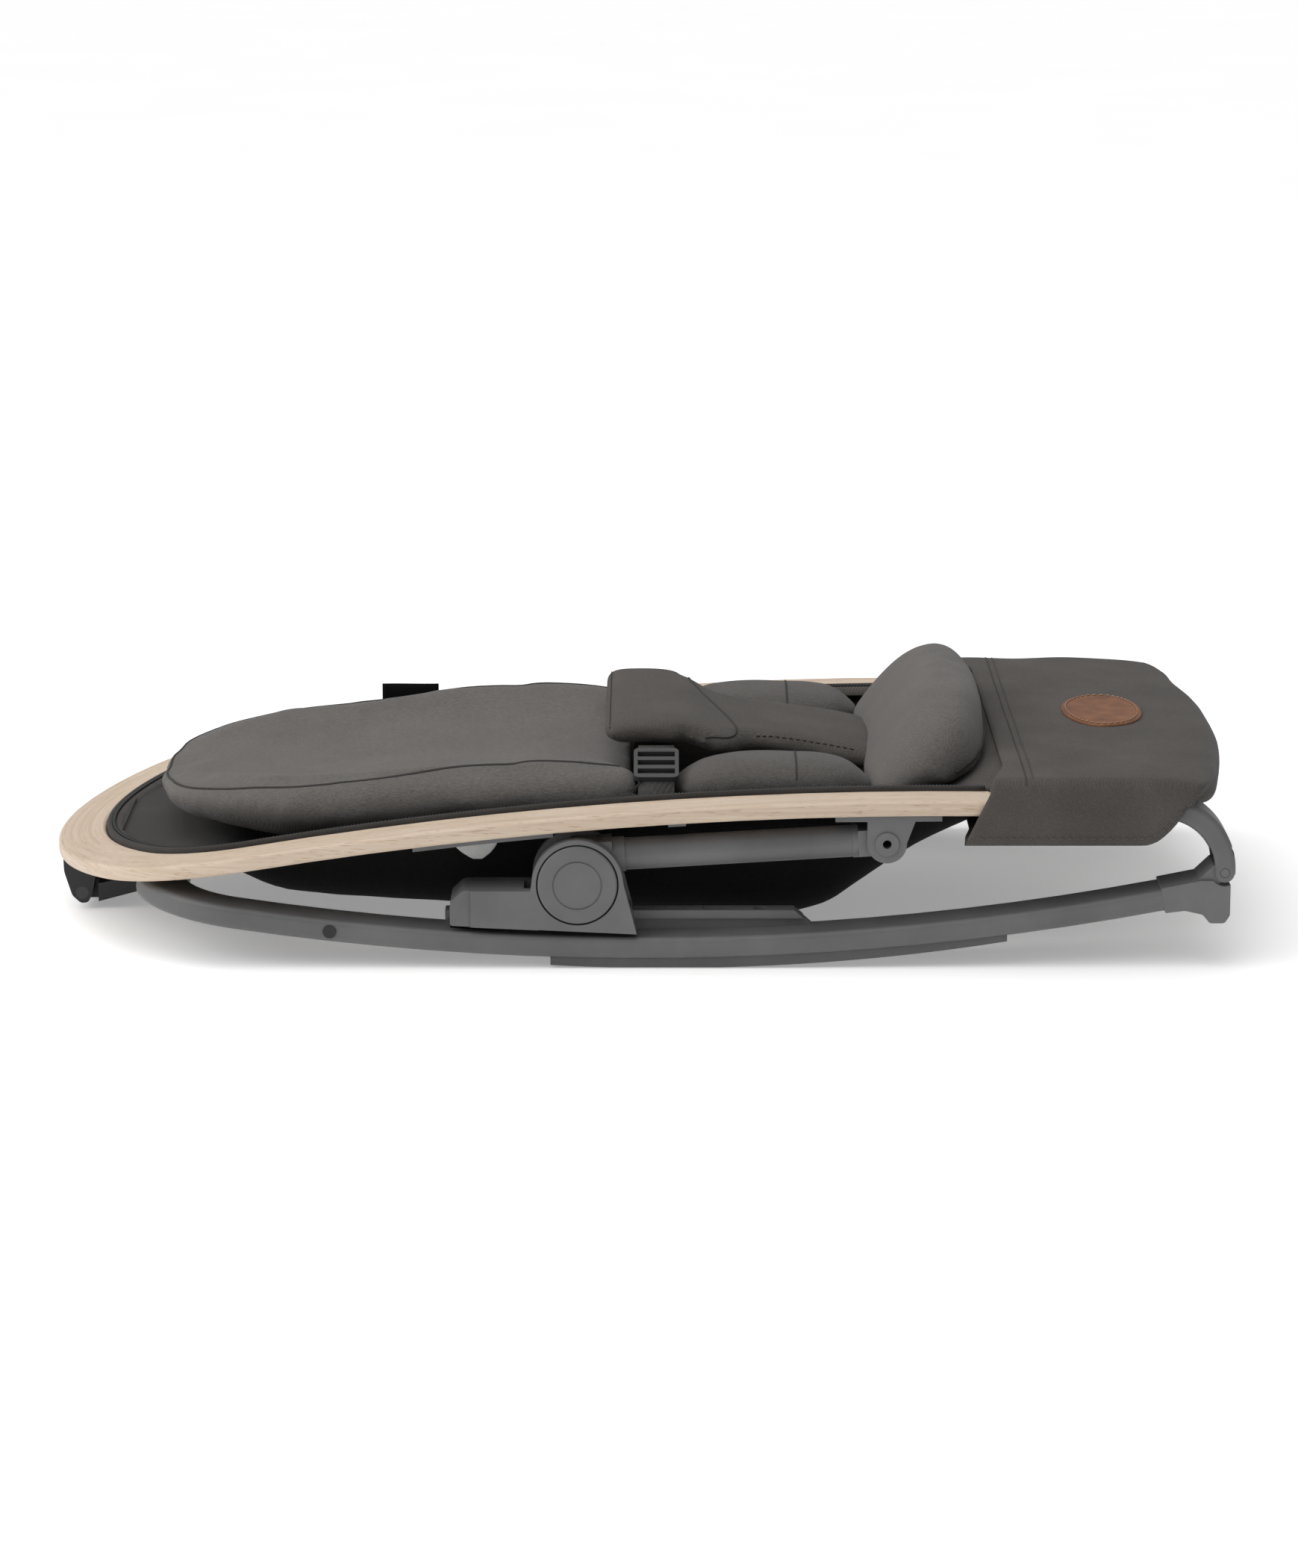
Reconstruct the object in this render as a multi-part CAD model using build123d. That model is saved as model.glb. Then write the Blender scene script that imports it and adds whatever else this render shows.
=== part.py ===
from build123d import *
import math
import os

os.makedirs("parts", exist_ok=True)

# A baby bouncer seat folded flat. Head end at -X, foot end at +X, millimetres, resting on Z = 0.
# Pieces in pairs are drawn on the baby's left (+Y) and mirrored for the right.

# Overall size and the clearances used throughout
LENGTH = 826.0
HEAD_X = -LENGTH / 2
COVER_END_X = LENGTH / 2 - 1.0
HOOP_HALF = 207.0
HOOP_W = 34.0
SIDE_Y = HOOP_HALF - HOOP_W / 2
SOFT_GAP = 0.3
PIN_RUN = 0.3
SLIDE_GAP = 0.4

# Flat oval steel tube of the base and the elbows
TUBE_W = 35.0
TUBE_H = 15.0
TUBE_EDGE = 4.0
WALL = 1.5

# Rocking base: side tubes bent to a long arc, head end closed by a cross tube
ROCK_X = 5.0
ROCK_BOTTOM = 6.1
ROCK_R = 1867.5
BASE_BEND = 54.5
CROSS_X = HEAD_X + 85.5
TUBE_FOOT_X = 357.0

# Flip-out stands in the base tube
STAND_X = CROSS_X + 119.9
STAND_TIP_X = STAND_X + 118.1
STAND_W = 11.0
STAND_SLOT_W = 13.0
STAND_PIN_R = 3.0

# Rubber rocker pads
PAD_X0 = STAND_TIP_X + 31.5
PAD_X1 = 252.0
PAD_W = 30.0
PAD_R = 1450.0
PAD_LOW_X = 20.0
PAD_FLAT = 74.0

# Slide rails
RAIL_Y = SIDE_Y - 11.0
RAIL_W = 14.0
RAIL_NECK = 8.0
RAIL_TOP = 35.0
RAIL_FLANGE = 5.5
RAIL_X0 = -130.0
RAIL_X1 = 119.6

# Pivots: hub of the arm in its shoe, arm on the seat, seat on the base
HUB = (-39.5, 58.3)
EAR = (170.0, 85.7)
FOOT_PIVOT = (398.5, 66.5)
FOOT_PIN_R = 3.0

# Shoe
SHOE_OUT = SIDE_Y + 18.5
SHOE_IN = SIDE_Y - 21.5
CHEEK = 9.0
ARM_SLOT = 24.8
SHOE_ARCH = 31.0
SHOE_X0 = -126.0
SHOE_X1 = 0.6
BUTTON_R = 27.0
BUTTON_PROUD = 0.7
BUTTON_T = 4.4
BUTTON_TRAVEL = 3.0
POCKET_DEPTH = 7.5
LOCK_X = -100.0
LOCK_R = 3.0

# Arm
ARM_Y = SHOE_OUT - CHEEK - ARM_SLOT / 2
ARM_R = 11.0
ARM_BORE = 9.5
ARM_OFFSET = 15.0
ARM_W = 24.0
KNUCKLE_R = 17.0
RIVET_R = 5.0

# Wooden hoop
HOOP_T = 10.5
NOSE_R = 270.0
HEAD_DEPTH = 150.0
BOW_R = 2900.0
BOW_X = 209.0
BOW_TOP = 116.0
HOOP_END_X = 240.0
TENON = 22.0

# Elbow tubes
ELBOW_R = 42.5
ELBOW_X = FOOT_PIVOT[0] - ELBOW_R
ELBOW_Z = 68.0

# Latch under the head of the hoop
LATCH_HALF = 45.0
LATCH_BACK = 19.0
LATCH_DROP = 31.94
LATCH_PIN_R = 4.5
LATCH_CHEEK = 12.0

# Fabric
CLOTH = 2.5
RIM_EASE = 3.5
INSIDE = HOOP_HALF - HOOP_W
COVER_HALF = HOOP_HALF + 3.5
COVER_WALL = 2.7
COVER_TOP = 132.0
COVER_BOTTOM = 86.0
COVER_CORNER = 32.0


def save(node, shape):
    export_step(shape, f"parts/{node}.step")


def pair(node, left):
    save(node + "_left", left)
    save(node + "_right", mirror(left, about=Plane.XZ))


def both(shape):
    return Compound(children=[shape, mirror(shape, about=Plane.XZ)])


def outline(points, radius=0.0):
    """Closed side view (X, Z) with its corners rounded."""
    return Plane.XZ * make_face(FilletPolyline(*points, radius=radius, close=True))


def disc(centre, radius):
    return Plane.XZ * Pos(centre[0], centre[1]) * Circle(radius)


def slab(face, y_mid, width):
    return Pos(0, y_mid, 0) * extrude(face, width / 2, both=True)


def block(x0, x1, y0, y1, z0, z1):
    middle = Pos((x0 + x1) / 2, (y0 + y1) / 2, (z0 + z1) / 2)
    return middle * Box(x1 - x0, y1 - y0, z1 - z0)


def cross_pin(centre, y_mid, length, radius):
    return Pos(centre[0], y_mid, centre[1]) * Rot(90, 0, 0) * Cylinder(radius, length)


# Arc of the base tube: its centre line and the way it runs at a given X
ROCK_MID = ROCK_BOTTOM + TUBE_H / 2
ROCK_Z = ROCK_MID + ROCK_R


def rock_angle(x):
    return math.asin((ROCK_X - x) / ROCK_R)


def rock_plane(x):
    turn = rock_angle(x)
    centre = (x, SIDE_Y, ROCK_Z - ROCK_R * math.cos(turn))
    return Plane(centre, x_dir=(0, 1, 0), z_dir=(-math.cos(turn), 0, math.sin(turn)))


def rock_z(x, lift=0.0):
    return ROCK_Z - math.sqrt((ROCK_R - lift) ** 2 - (x - ROCK_X) ** 2)


def tube_section(inset):
    return RectangleRounded(TUBE_W - 2 * inset, TUBE_H - 2 * inset, TUBE_EDGE - inset)


def base_loop(inset):
    """The whole base tube as a bar, its skin drawn in by inset."""
    section = tube_section(inset)
    tilt = math.asin((ROCK_X - CROSS_X) / math.hypot(ROCK_R, BASE_BEND)) - math.atan2(BASE_BEND, ROCK_R)
    bend_x = ROCK_X - ROCK_R * math.sin(tilt)
    turn = math.degrees(tilt - rock_angle(TUBE_FOOT_X))
    axle = Axis((ROCK_X, SIDE_Y, ROCK_Z), (0, 1, 0))
    side = revolve(rock_plane(TUBE_FOOT_X) * section, axle, turn)
    start = rock_plane(bend_x)
    onward = start.z_dir
    bend_axis = Axis(
        (start.origin.X, SIDE_Y - BASE_BEND, start.origin.Z), (math.sin(tilt), 0, math.cos(tilt))
    )
    bend = revolve(start * section, bend_axis, 90)
    straight = SIDE_Y - BASE_BEND
    corner = start.origin + onward * BASE_BEND
    across = Plane((corner.X, straight, corner.Z), x_dir=onward, z_dir=(0, -1, 0))
    half = side + bend + extrude(across * section, straight)
    return half + mirror(half, about=Plane.XZ)


base_bar = base_loop(0)

# Base tube with the slots of the stands and the holes of their pins
stand_pivot = (STAND_X, rock_z(STAND_X))
stand_slot = block(
    STAND_X - 30.4,
    STAND_TIP_X + 3.5,
    SIDE_Y - STAND_SLOT_W / 2,
    SIDE_Y + STAND_SLOT_W / 2,
    0,
    rock_z(STAND_X),
)
stand_hole = cross_pin(stand_pivot, SIDE_Y, TUBE_W + 4, STAND_PIN_R)
base_tube = base_bar - base_loop(WALL)
for cut in (stand_slot, stand_hole):
    base_tube = base_tube - cut - mirror(cut, about=Plane.XZ)
save("base_tube", base_tube)

# Rubber rocker pads, flat where they rest
flat_drop = PAD_R - math.sqrt(PAD_R**2 - (PAD_FLAT / 2) ** 2)


def pad_z(x):
    return PAD_R - flat_drop - math.sqrt(PAD_R**2 - (x - PAD_LOW_X) ** 2)


pad_under = ThreePointArc((PAD_X0, pad_z(PAD_X0)), (PAD_LOW_X, -flat_drop), (PAD_X1, pad_z(PAD_X1)))
pad_over = ThreePointArc((PAD_X1, rock_z(PAD_X1)), (ROCK_X, rock_z(ROCK_X)), (PAD_X0, rock_z(PAD_X0)))
pad_face = make_face(
    [pad_under, Line(pad_under @ 1, pad_over @ 0), pad_over, Line(pad_over @ 1, pad_under @ 0)]
)
pad = slab(Plane.XZ * pad_face, SIDE_Y, PAD_W) - base_bar
pad = pad - block(PAD_X0, PAD_X1, SIDE_Y - PAD_W, SIDE_Y + PAD_W, -5, 0)
pair("rocker_pad", pad)

# Slide rails: a T section standing on the tube, with lock slots and a screw recess in its top
rail_low = RAIL_TOP - RAIL_FLANGE
rail_side = outline(
    [(RAIL_X0, 12), (RAIL_X1, 12), (RAIL_X1, 25), (RAIL_X1 - 11.6, RAIL_TOP), (RAIL_X0, RAIL_TOP)]
)
rail = slab(rail_side, RAIL_Y, RAIL_W)
for edge in (-1, 1):
    y_cut = RAIL_Y + edge * (RAIL_NECK + RAIL_W) / 4
    half_cut = (RAIL_W - RAIL_NECK) / 4
    rail = rail - block(RAIL_X0, RAIL_X1, y_cut - half_cut, y_cut + half_cut, 0, rail_low)
for x0, x1 in ((-6, 13), (19, 39), (45, 66)):
    slot = Pos((x0 + x1) / 2, RAIL_Y, RAIL_TOP) * SlotOverall(x1 - x0, 6.6)
    rail = rail - extrude(slot, -3.5)
rail = rail - Pos(85, RAIL_Y, RAIL_TOP) * Cylinder(5, 4)
rail = rail - base_bar
pair("rail", rail)

# Foot connectors: plug in the tube, shoulder with a foot stub, tongue inside the elbow
foot_plane = rock_plane(TUBE_FOOT_X)
shoulder = outline(
    [
        (355.4, 55.6),
        (382, 61),
        (402.5, 61),
        (402.5, 37),
        (399, 31.5),
        (389, 31.5),
        (384, 37.5),
        (372, 40.2),
        (358.7, 38.6),
    ],
    [1, 6, 1, 3, 3, 3, 5, 8, 1],
)
tongue = outline([(374, 59), (381, 61.5), (391, 71.2), (399, 72), (399, 61), (384, 53), (374, 52)])
connector = slab(shoulder - disc(FOOT_PIVOT, TUBE_H / 2 + 1.8), SIDE_Y, TUBE_W)
connector = connector + slab(tongue + disc(FOOT_PIVOT, 5.6), SIDE_Y, TUBE_W - 2 * WALL - 1.8)
plug = RectangleRounded(TUBE_W - 2 * WALL - 0.6, TUBE_H - 2 * WALL - 0.6, TUBE_EDGE - WALL)
connector = connector - extrude(foot_plane * Rectangle(60, 60), 30)
connector = connector + extrude(foot_plane * plug, 26) + extrude(foot_plane * plug, -6)
connector = connector - cross_pin(FOOT_PIVOT, SIDE_Y, 60, FOOT_PIN_R)
pair("connector", connector)
save("foot_pivot_pins", both(cross_pin(FOOT_PIVOT, SIDE_Y, TUBE_W, FOOT_PIN_R)))

# Flip-out stands: a lever lying in the slot of the tube, two millimetres proud below it
stand_bar = outline(
    [
        (STAND_X, stand_pivot[1] + 4.6),
        (STAND_TIP_X - 2, rock_z(STAND_TIP_X) - TUBE_H / 2 + 5),
        (STAND_TIP_X, rock_z(STAND_TIP_X) - TUBE_H / 2 - 2),
        (STAND_TIP_X - 30.5, rock_z(STAND_TIP_X - 30.5) - TUBE_H / 2 - 2),
        (STAND_X + 42.6, rock_z(STAND_X + 42.6) - TUBE_H / 2 - 1.5),
        (STAND_X, stand_pivot[1] - 4.6),
    ],
    [0, 2, 2, 20, 20, 0],
)
stand = slab(stand_bar + disc(stand_pivot, 4.8), SIDE_Y, STAND_W)
pair("stand", stand - cross_pin(stand_pivot, SIDE_Y, 60, STAND_PIN_R + PIN_RUN))
stand_pin = cross_pin(stand_pivot, SIDE_Y, TUBE_W, STAND_PIN_R)
stand_head = cross_pin(stand_pivot, SIDE_Y + TUBE_W / 2 + 0.4, 0.8, 4.6)
save("stand_pins", both(stand_pin + stand_head))
bump_x0 = STAND_X - 41.4
bump_x1 = STAND_X - 32.4
bump_side = [
    (bump_x0, rock_z(bump_x0)),
    (bump_x0, rock_z(bump_x0) - 9.5),
    (bump_x1, rock_z(bump_x1) - 9.5),
    (bump_x1, rock_z(bump_x1)),
]
bumper = slab(outline(bump_side, [0, 2, 2, 0]), SIDE_Y, STAND_SLOT_W)
save("stand_bumpers", both(bumper - base_bar))

# Shoes: two cheeks round the hub, a hump over the lock pin, a T channel round the rail
cheek_face = (
    disc(HUB, SHOE_ARCH)
    + outline([(SHOE_X1, 24), (-8.6, 60), (-70.4, 60), (-76, 27.5)])
    + outline(
        [(SHOE_X0, 29.5), (SHOE_X0, 46), (-117, 54), (-66, 54), (-66, 26.8)], [2, 6, 6, 0, 0]
    )
)
shoe_mid = (SHOE_OUT + SHOE_IN) / 2
shoe = slab(cheek_face, shoe_mid, SHOE_OUT - SHOE_IN)
slot_in = SHOE_OUT - CHEEK - ARM_SLOT
shoe = shoe - block(-76, 40, slot_in, SHOE_OUT - CHEEK, 39, 120)
shoe = shoe - block(
    SHOE_X0 - 5,
    SHOE_X1 + 5,
    RAIL_Y - RAIL_W / 2 - SLIDE_GAP,
    RAIL_Y + RAIL_W / 2 + SLIDE_GAP,
    rail_low - SLIDE_GAP,
    RAIL_TOP + SLIDE_GAP,
)
shoe = shoe - block(
    SHOE_X0 - 5,
    SHOE_X1 + 5,
    RAIL_Y - RAIL_NECK / 2 - SLIDE_GAP,
    RAIL_Y + RAIL_NECK / 2 + SLIDE_GAP,
    10,
    rail_low,
)
pocket_floor = SHOE_OUT - POCKET_DEPTH
shoe = shoe - cross_pin(HUB, pocket_floor + 10, 20, BUTTON_R + 1)
shoe = shoe - block(SHOE_X0 - 1, -112, SHOE_OUT - 2, SHOE_OUT + 1, 0, 90)
shoe = shoe - Pos(LOCK_X, RAIL_Y, RAIL_TOP + 8) * Cylinder(LOCK_R + PIN_RUN, 16)
pair("shoe", shoe)
lock_pin = Pos(LOCK_X, RAIL_Y, RAIL_TOP + 8.1) * Cylinder(LOCK_R, 15)
pair("lock_pin", lock_pin)

# Push buttons with a plain raised ring, and the springs behind them
button_face = SHOE_OUT + BUTTON_PROUD
button = cross_pin(HUB, button_face - BUTTON_T / 2, BUTTON_T, BUTTON_R)
button = fillet(button.edges().sort_by(Axis.Y)[-1], 1.5)
groove = cross_pin(HUB, button_face, 1.2, 17) - cross_pin(HUB, button_face, 2, 15.8)
spring_seat = cross_pin(HUB, button_face - BUTTON_T, 5.6, 9)
pair("button", button - groove - spring_seat)
coil_path = Helix(pitch=1.4, height=1.4, radius=7)
coil = sweep(Plane(coil_path @ 0, z_dir=coil_path % 0) * Circle(0.5), coil_path)
coil = Pos(HUB[0], pocket_floor + 0.6, HUB[1]) * Rot(-90, 0, 0) * coil
pair("button_spring", coil)

# Arms: the tube's axis runs through the ear pivot and passes above the hub
reach = math.hypot(EAR[0] - HUB[0], EAR[1] - HUB[1])
arm_slope = math.atan2(EAR[1] - HUB[1], EAR[0] - HUB[0]) - math.asin(ARM_OFFSET / reach)
arm_way = (math.cos(arm_slope), math.sin(arm_slope))


def arm_point(back, side=0.0):
    """A point of the side view, back along the arm from the ear pivot and off to one side."""
    x = EAR[0] - back * arm_way[0] - side * arm_way[1]
    return (x, EAR[1] - back * arm_way[1] + side * arm_way[0])


def arm_bar(back0, back1, radius):
    start = arm_point(back1)
    plane = Plane((start[0], ARM_Y, start[1]), x_dir=(0, 1, 0), z_dir=(arm_way[0], 0, arm_way[1]))
    return extrude(plane * Circle(radius), back1 - back0)


def arm_strip(back0, back1, half):
    corners = [arm_point(back0, half), arm_point(back1, half), arm_point(back1, -half)]
    return outline(corners + [arm_point(back0, -half)])


TUBE_LOW = 188.0
TUBE_HIGH = 23.0
arm_tube = arm_bar(TUBE_HIGH, TUBE_LOW, ARM_R) - arm_bar(0, 250, ARM_BORE)
pair("arm_tube", arm_tube)
knuckle = slab(disc(HUB, KNUCKLE_R) + arm_strip(186, 214, 11.6), ARM_Y, ARM_W)
knuckle = knuckle + arm_bar(177.5, 192, ARM_R + 1)
knuckle = knuckle - arm_bar(100, TUBE_LOW, ARM_R)
pair("arm_knuckle", knuckle)
eye = slab(disc(EAR, 11) + arm_strip(0, 19.2, 9), ARM_Y, ARM_W - 1)
eye = eye + arm_bar(19, TUBE_HIGH, ARM_R + 0.5) + arm_bar(TUBE_HIGH, 38, ARM_BORE - 0.1)
pair("arm_eye", eye - cross_pin(EAR, ARM_Y, 60, RIVET_R + PIN_RUN))

# Wooden hoop: a plan of nose arc, corner arcs and straight rails, bent along one long bow
NOSE_X = HEAD_X + NOSE_R
CORNER_X = HEAD_X + HEAD_DEPTH
nose_gap = CORNER_X - NOSE_X
CORNER_R = (NOSE_R**2 - nose_gap**2 - HOOP_HALF**2) / (2 * (NOSE_R - HOOP_HALF))
CORNER_Y = HOOP_HALF - CORNER_R


def hoop_plan(inset, end_x):
    """The filled plan inside the hoop's outer edge drawn in by inset."""
    nose = NOSE_R - inset
    corner = CORNER_R - inset
    join = math.atan2(CORNER_Y, nose_gap)
    mid = (join + math.pi / 2) / 2
    meet = (NOSE_X + nose * math.cos(join), nose * math.sin(join))
    half_way = (CORNER_X + corner * math.cos(mid), CORNER_Y + corner * math.sin(mid))
    side = HOOP_HALF - inset
    flip = [(x, -y) for x, y in (meet, half_way, (CORNER_X, side), (end_x, side))]
    edges = [
        Line((end_x, side), (CORNER_X, side)),
        ThreePointArc((CORNER_X, side), half_way, meet),
        ThreePointArc(meet, (NOSE_X - nose, 0), flip[0]),
        ThreePointArc(flip[0], flip[1], flip[2]),
        Line(flip[2], flip[3]),
        Line(flip[3], (end_x, side)),
    ]
    return make_face(edges)


def bow_z(x):
    return BOW_TOP - BOW_R + math.sqrt(BOW_R**2 - (x - BOW_X) ** 2)


def bow_band(above, below, x0, x1):
    """Everything between two curves that follow the bow of the hoop."""
    mid = (x0 + x1) / 2
    top = ThreePointArc(*((x, bow_z(x) + above) for x in (x0, mid, x1)))
    low = ThreePointArc(*((x, bow_z(x) - below) for x in (x1, mid, x0)))
    face = make_face([top, Line(top @ 1, low @ 0), low, Line(low @ 1, top @ 0)])
    return slab(Plane.XZ * face, 0, 3 * HOOP_HALF)


def hoop_ring(inset0, inset1, above, below, end_x):
    ring = extrude(hoop_plan(inset0, end_x), 200) - extrude(hoop_plan(inset1, end_x + 10), 200)
    return ring & bow_band(above, below, HEAD_X - 10, end_x + 10)


hoop = hoop_ring(0, HOOP_W, 0, HOOP_T, HOOP_END_X)
hoop = fillet(hoop.edges().filter_by(lambda e: e.bounding_box().size.X > 12), 2.8)
run_z = ELBOW_Z + ELBOW_R
tenon = block(
    HOOP_END_X - 1,
    HOOP_END_X + TENON,
    SIDE_Y - 15.3,
    SIDE_Y + 15.3,
    run_z - 4.8,
    run_z + 4.8,
)
hoop = hoop + tenon + mirror(tenon, about=Plane.XZ)
save("wood_hoop", hoop)
under_wood = bow_band(60, HOOP_T, HEAD_X - 20, 300)

# Elbow tubes: a run over the hoop's tenon, a quarter bend, and a cheek each side of the tongue
def elbow_bar(inset):
    section = tube_section(inset)
    run_plane = Plane((HOOP_END_X + 1, SIDE_Y, run_z), x_dir=(0, 1, 0), z_dir=(1, 0, 0))
    bend_plane = Plane((ELBOW_X, SIDE_Y, run_z), x_dir=(0, 1, 0), z_dir=(1, 0, 0))
    end_plane = Plane((ELBOW_X + ELBOW_R, SIDE_Y, ELBOW_Z), x_dir=(0, 1, 0), z_dir=(0, 0, -1))
    run = extrude(run_plane * section, ELBOW_X - HOOP_END_X - 1)
    bend = revolve(bend_plane * section, Axis((ELBOW_X, SIDE_Y, ELBOW_Z), (0, 1, 0)), 90)
    drop = extrude(end_plane * section, ELBOW_Z - FOOT_PIVOT[1])
    return run + bend + drop


elbow = elbow_bar(0) + cross_pin(FOOT_PIVOT, SIDE_Y, TUBE_W - 2 * TUBE_EDGE, TUBE_H / 2)
elbow = elbow + cross_pin(FOOT_PIVOT, SIDE_Y, TUBE_W, TUBE_H / 2 - 1)
inner_half = TUBE_W / 2 - WALL
inner_y0 = SIDE_Y - inner_half
inner_y1 = SIDE_Y + inner_half
inner_x = FOOT_PIVOT[0] + TUBE_H / 2 - WALL
elbow = elbow - elbow_bar(WALL)
elbow = elbow - block(380, inner_x, inner_y0, inner_y1, 50, 84)
elbow = elbow - block(380, 420, inner_y0, inner_y1, 50, FOOT_PIVOT[1] - 2)
elbow = elbow - cross_pin(FOOT_PIVOT, SIDE_Y, 60, FOOT_PIN_R + PIN_RUN)
pair("elbow", elbow)

# Foot bow inside the cover, held between the two elbow tubes
BOW_ROD = 6.0
BOW_BEND = 92.0
BOW_SET = 8.0
bow_y = SIDE_Y - TUBE_W / 2 - BOW_ROD
bow_end = COVER_END_X - COVER_WALL - SOFT_GAP - BOW_ROD - BOW_SET
bow_leg_plane = Plane((270, bow_y, run_z), z_dir=(1, 0, 0))
bow_bend_plane = Plane((bow_end - BOW_BEND, bow_y, run_z), z_dir=(1, 0, 0))
bow_cross_plane = Plane((bow_end, bow_y - BOW_BEND, run_z), z_dir=(0, -1, 0))
bow_axis = Axis((bow_end - BOW_BEND, bow_y - BOW_BEND, 0), (0, 0, -1))
rod = Circle(BOW_ROD)
bow = extrude(bow_leg_plane * rod, bow_end - BOW_BEND - 270)
bow = bow + revolve(bow_bend_plane * rod, bow_axis, 90)
bow = bow + extrude(bow_cross_plane * rod, bow_y - BOW_BEND)
save("foot_bow", bow + mirror(bow, about=Plane.XZ))

# Hinge brackets under the hoop, with two ears for the arm's eye
EAR_T = 4.0
plate = slab(outline([(135, 101), (207, 101.5), (207, 110), (135, 110)]), ARM_Y, ARM_SLOT + 2 * EAR_T)
ear_face = disc(EAR, 13.4) + outline([(156.6, 104), (156.6, 85.7), (183.2, 85.7), (190, 104)])
bracket = plate
for side in (-1, 1):
    bracket = bracket + slab(ear_face, ARM_Y + side * (ARM_SLOT + EAR_T) / 2, EAR_T)
bracket = bracket - under_wood - cross_pin(EAR, ARM_Y, 60, RIVET_R)
pair("bracket", bracket)
rivet = cross_pin(EAR, ARM_Y, ARM_SLOT + 2 * EAR_T, RIVET_R)
for side in (-1, 1):
    rivet = rivet + cross_pin(EAR, ARM_Y + side * (ARM_SLOT / 2 + EAR_T + 0.7), 1.4, 8)
save("bracket_rivets", both(rivet - cross_pin(EAR, ARM_Y, 60, 3)))

# Thin plates and stop blocks screwed under the rails of the hoop
rail_plate = block(-151, -56, SIDE_Y - 11, SIDE_Y + 11, 70, 130)
rail_plate = rail_plate & bow_band(-HOOP_T - SOFT_GAP, HOOP_T + 3.5, -200, 0)
stop_block = block(22, 34, SIDE_Y - 7, SIDE_Y + 7, 70, 130)
stop_block = stop_block & bow_band(-HOOP_T - SOFT_GAP, HOOP_T + 3.5, 0, 100)
save("rail_plates", Compound(children=[both(rail_plate), both(stop_block)]))

# Latch: a lug under the hoop's nose, a hook on a pin, and its leaf spring, all placed from the pin
LATCH_PIVOT = (HEAD_X + LATCH_BACK, rock_z(CROSS_X) - LATCH_DROP)


def latch_outline(points, radius):
    return outline([(LATCH_PIVOT[0] + x, LATCH_PIVOT[1] + z) for x, z in points], radius)


def latch_block(x0, x1, half, z0, z1):
    return Pos(LATCH_PIVOT[0], 0, LATCH_PIVOT[1]) * block(x0, x1, -half, half, z0, z1)


lug_face = latch_outline(
    [
        (-14, 60),
        (-12.5, 15.5),
        (-7, -2),
        (-1, -7.5),
        (4.5, -6.9),
        (7.5, 0.5),
        (10, 13.5),
        (16, 60),
    ],
    [0, 20, 8, 4, 4, 8, 8, 0],
)
lug = slab(lug_face, 0, 2 * LATCH_HALF) - under_wood
lug_gap = LATCH_HALF - LATCH_CHEEK
lug = lug - latch_block(-26, 24, lug_gap, -20, 13.4)
lug = lug - cross_pin(LATCH_PIVOT, 0, 120, LATCH_PIN_R)
save("latch_lug", lug)
save("latch_pin", cross_pin(LATCH_PIVOT, 0, 2 * LATCH_HALF, LATCH_PIN_R))
hook_arm = latch_outline(
    [
        (0, -6.5),
        (12, -6.3),
        (43, 2),
        (47.2, 6.5),
        (47.2, 18.5),
        (42, 18.5),
        (37, 11.7),
        (14, 7.1),
        (0, 6.5),
    ],
    [0, 3, 4, 4, 1, 1, 4, 4, 0],
)
hook = slab(hook_arm + disc(LATCH_PIVOT, 7), 0, 2 * (lug_gap - SLIDE_GAP))
wide_arm = slab(hook_arm, 0, 2 * LATCH_HALF - 2) & latch_block(11.5, 54, LATCH_HALF + 10, -20, 28)
hook = hook + wide_arm - cross_pin(LATCH_PIVOT, 0, 120, LATCH_PIN_R + PIN_RUN)
save("latch_hook", hook)
save("latch_spring", latch_block(-4, 32, 10, 12.6, 13.4))


def inside_half(x):
    """Half width of the opening inside the hoop at X."""
    nose = NOSE_R - HOOP_W
    corner = CORNER_R - HOOP_W
    meet_x = NOSE_X + nose * math.cos(math.atan2(CORNER_Y, nose_gap))
    if x >= CORNER_X:
        return INSIDE
    if x >= meet_x:
        return CORNER_Y + math.sqrt(corner**2 - (x - CORNER_X) ** 2)
    return math.sqrt(nose**2 - (x - NOSE_X) ** 2)


# Sling: a soft bucket hung inside the hoop, deepest under the seat and steep towards the foot.
# Each station gives X, how far in from the hoop its rim is and the rim's height, then the same
# two of its bottom.
SLING = [
    (HEAD_X + 47, 11.2, 57.5, 37.2, 55.0),
    (HEAD_X + 73, 5.95, 62.0, 33.95, 57.0),
    (HEAD_X + 107, 12.1, 69.0, 40.1, 57.0),
    (HEAD_X + 173, RIM_EASE, 80.0, 33.0, 33.0),
    (-140, RIM_EASE, 93.5, 39.0, 22.0),
    (0, RIM_EASE, 106.0, 45.0, 15.0),
    (104, RIM_EASE, 111.0, 51.0, 11.0),
    (126, RIM_EASE, 111.5, 49.0, 16.0),
    (160, RIM_EASE, 112.0, 43.0, 39.0),
    (196, RIM_EASE, 112.5, 37.0, 66.0),
    (226, RIM_EASE, 112.5, 33.0, 84.0),
]
sling_line = [(x, inside_half(x) - a, z, inside_half(x) - b, low) for x, a, z, b, low in SLING]


def trough(x, rim, rim_z, floor, floor_z, corner):
    points = [(rim, rim_z), (floor, floor_z), (-floor, floor_z), (-rim, rim_z)]
    wire = FilletPolyline(*points, radius=[0, corner, corner, 0], close=True)
    return Plane((x, 0, 0), x_dir=(0, 1, 0), z_dir=(1, 0, 0)) * make_face(wire)


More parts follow.
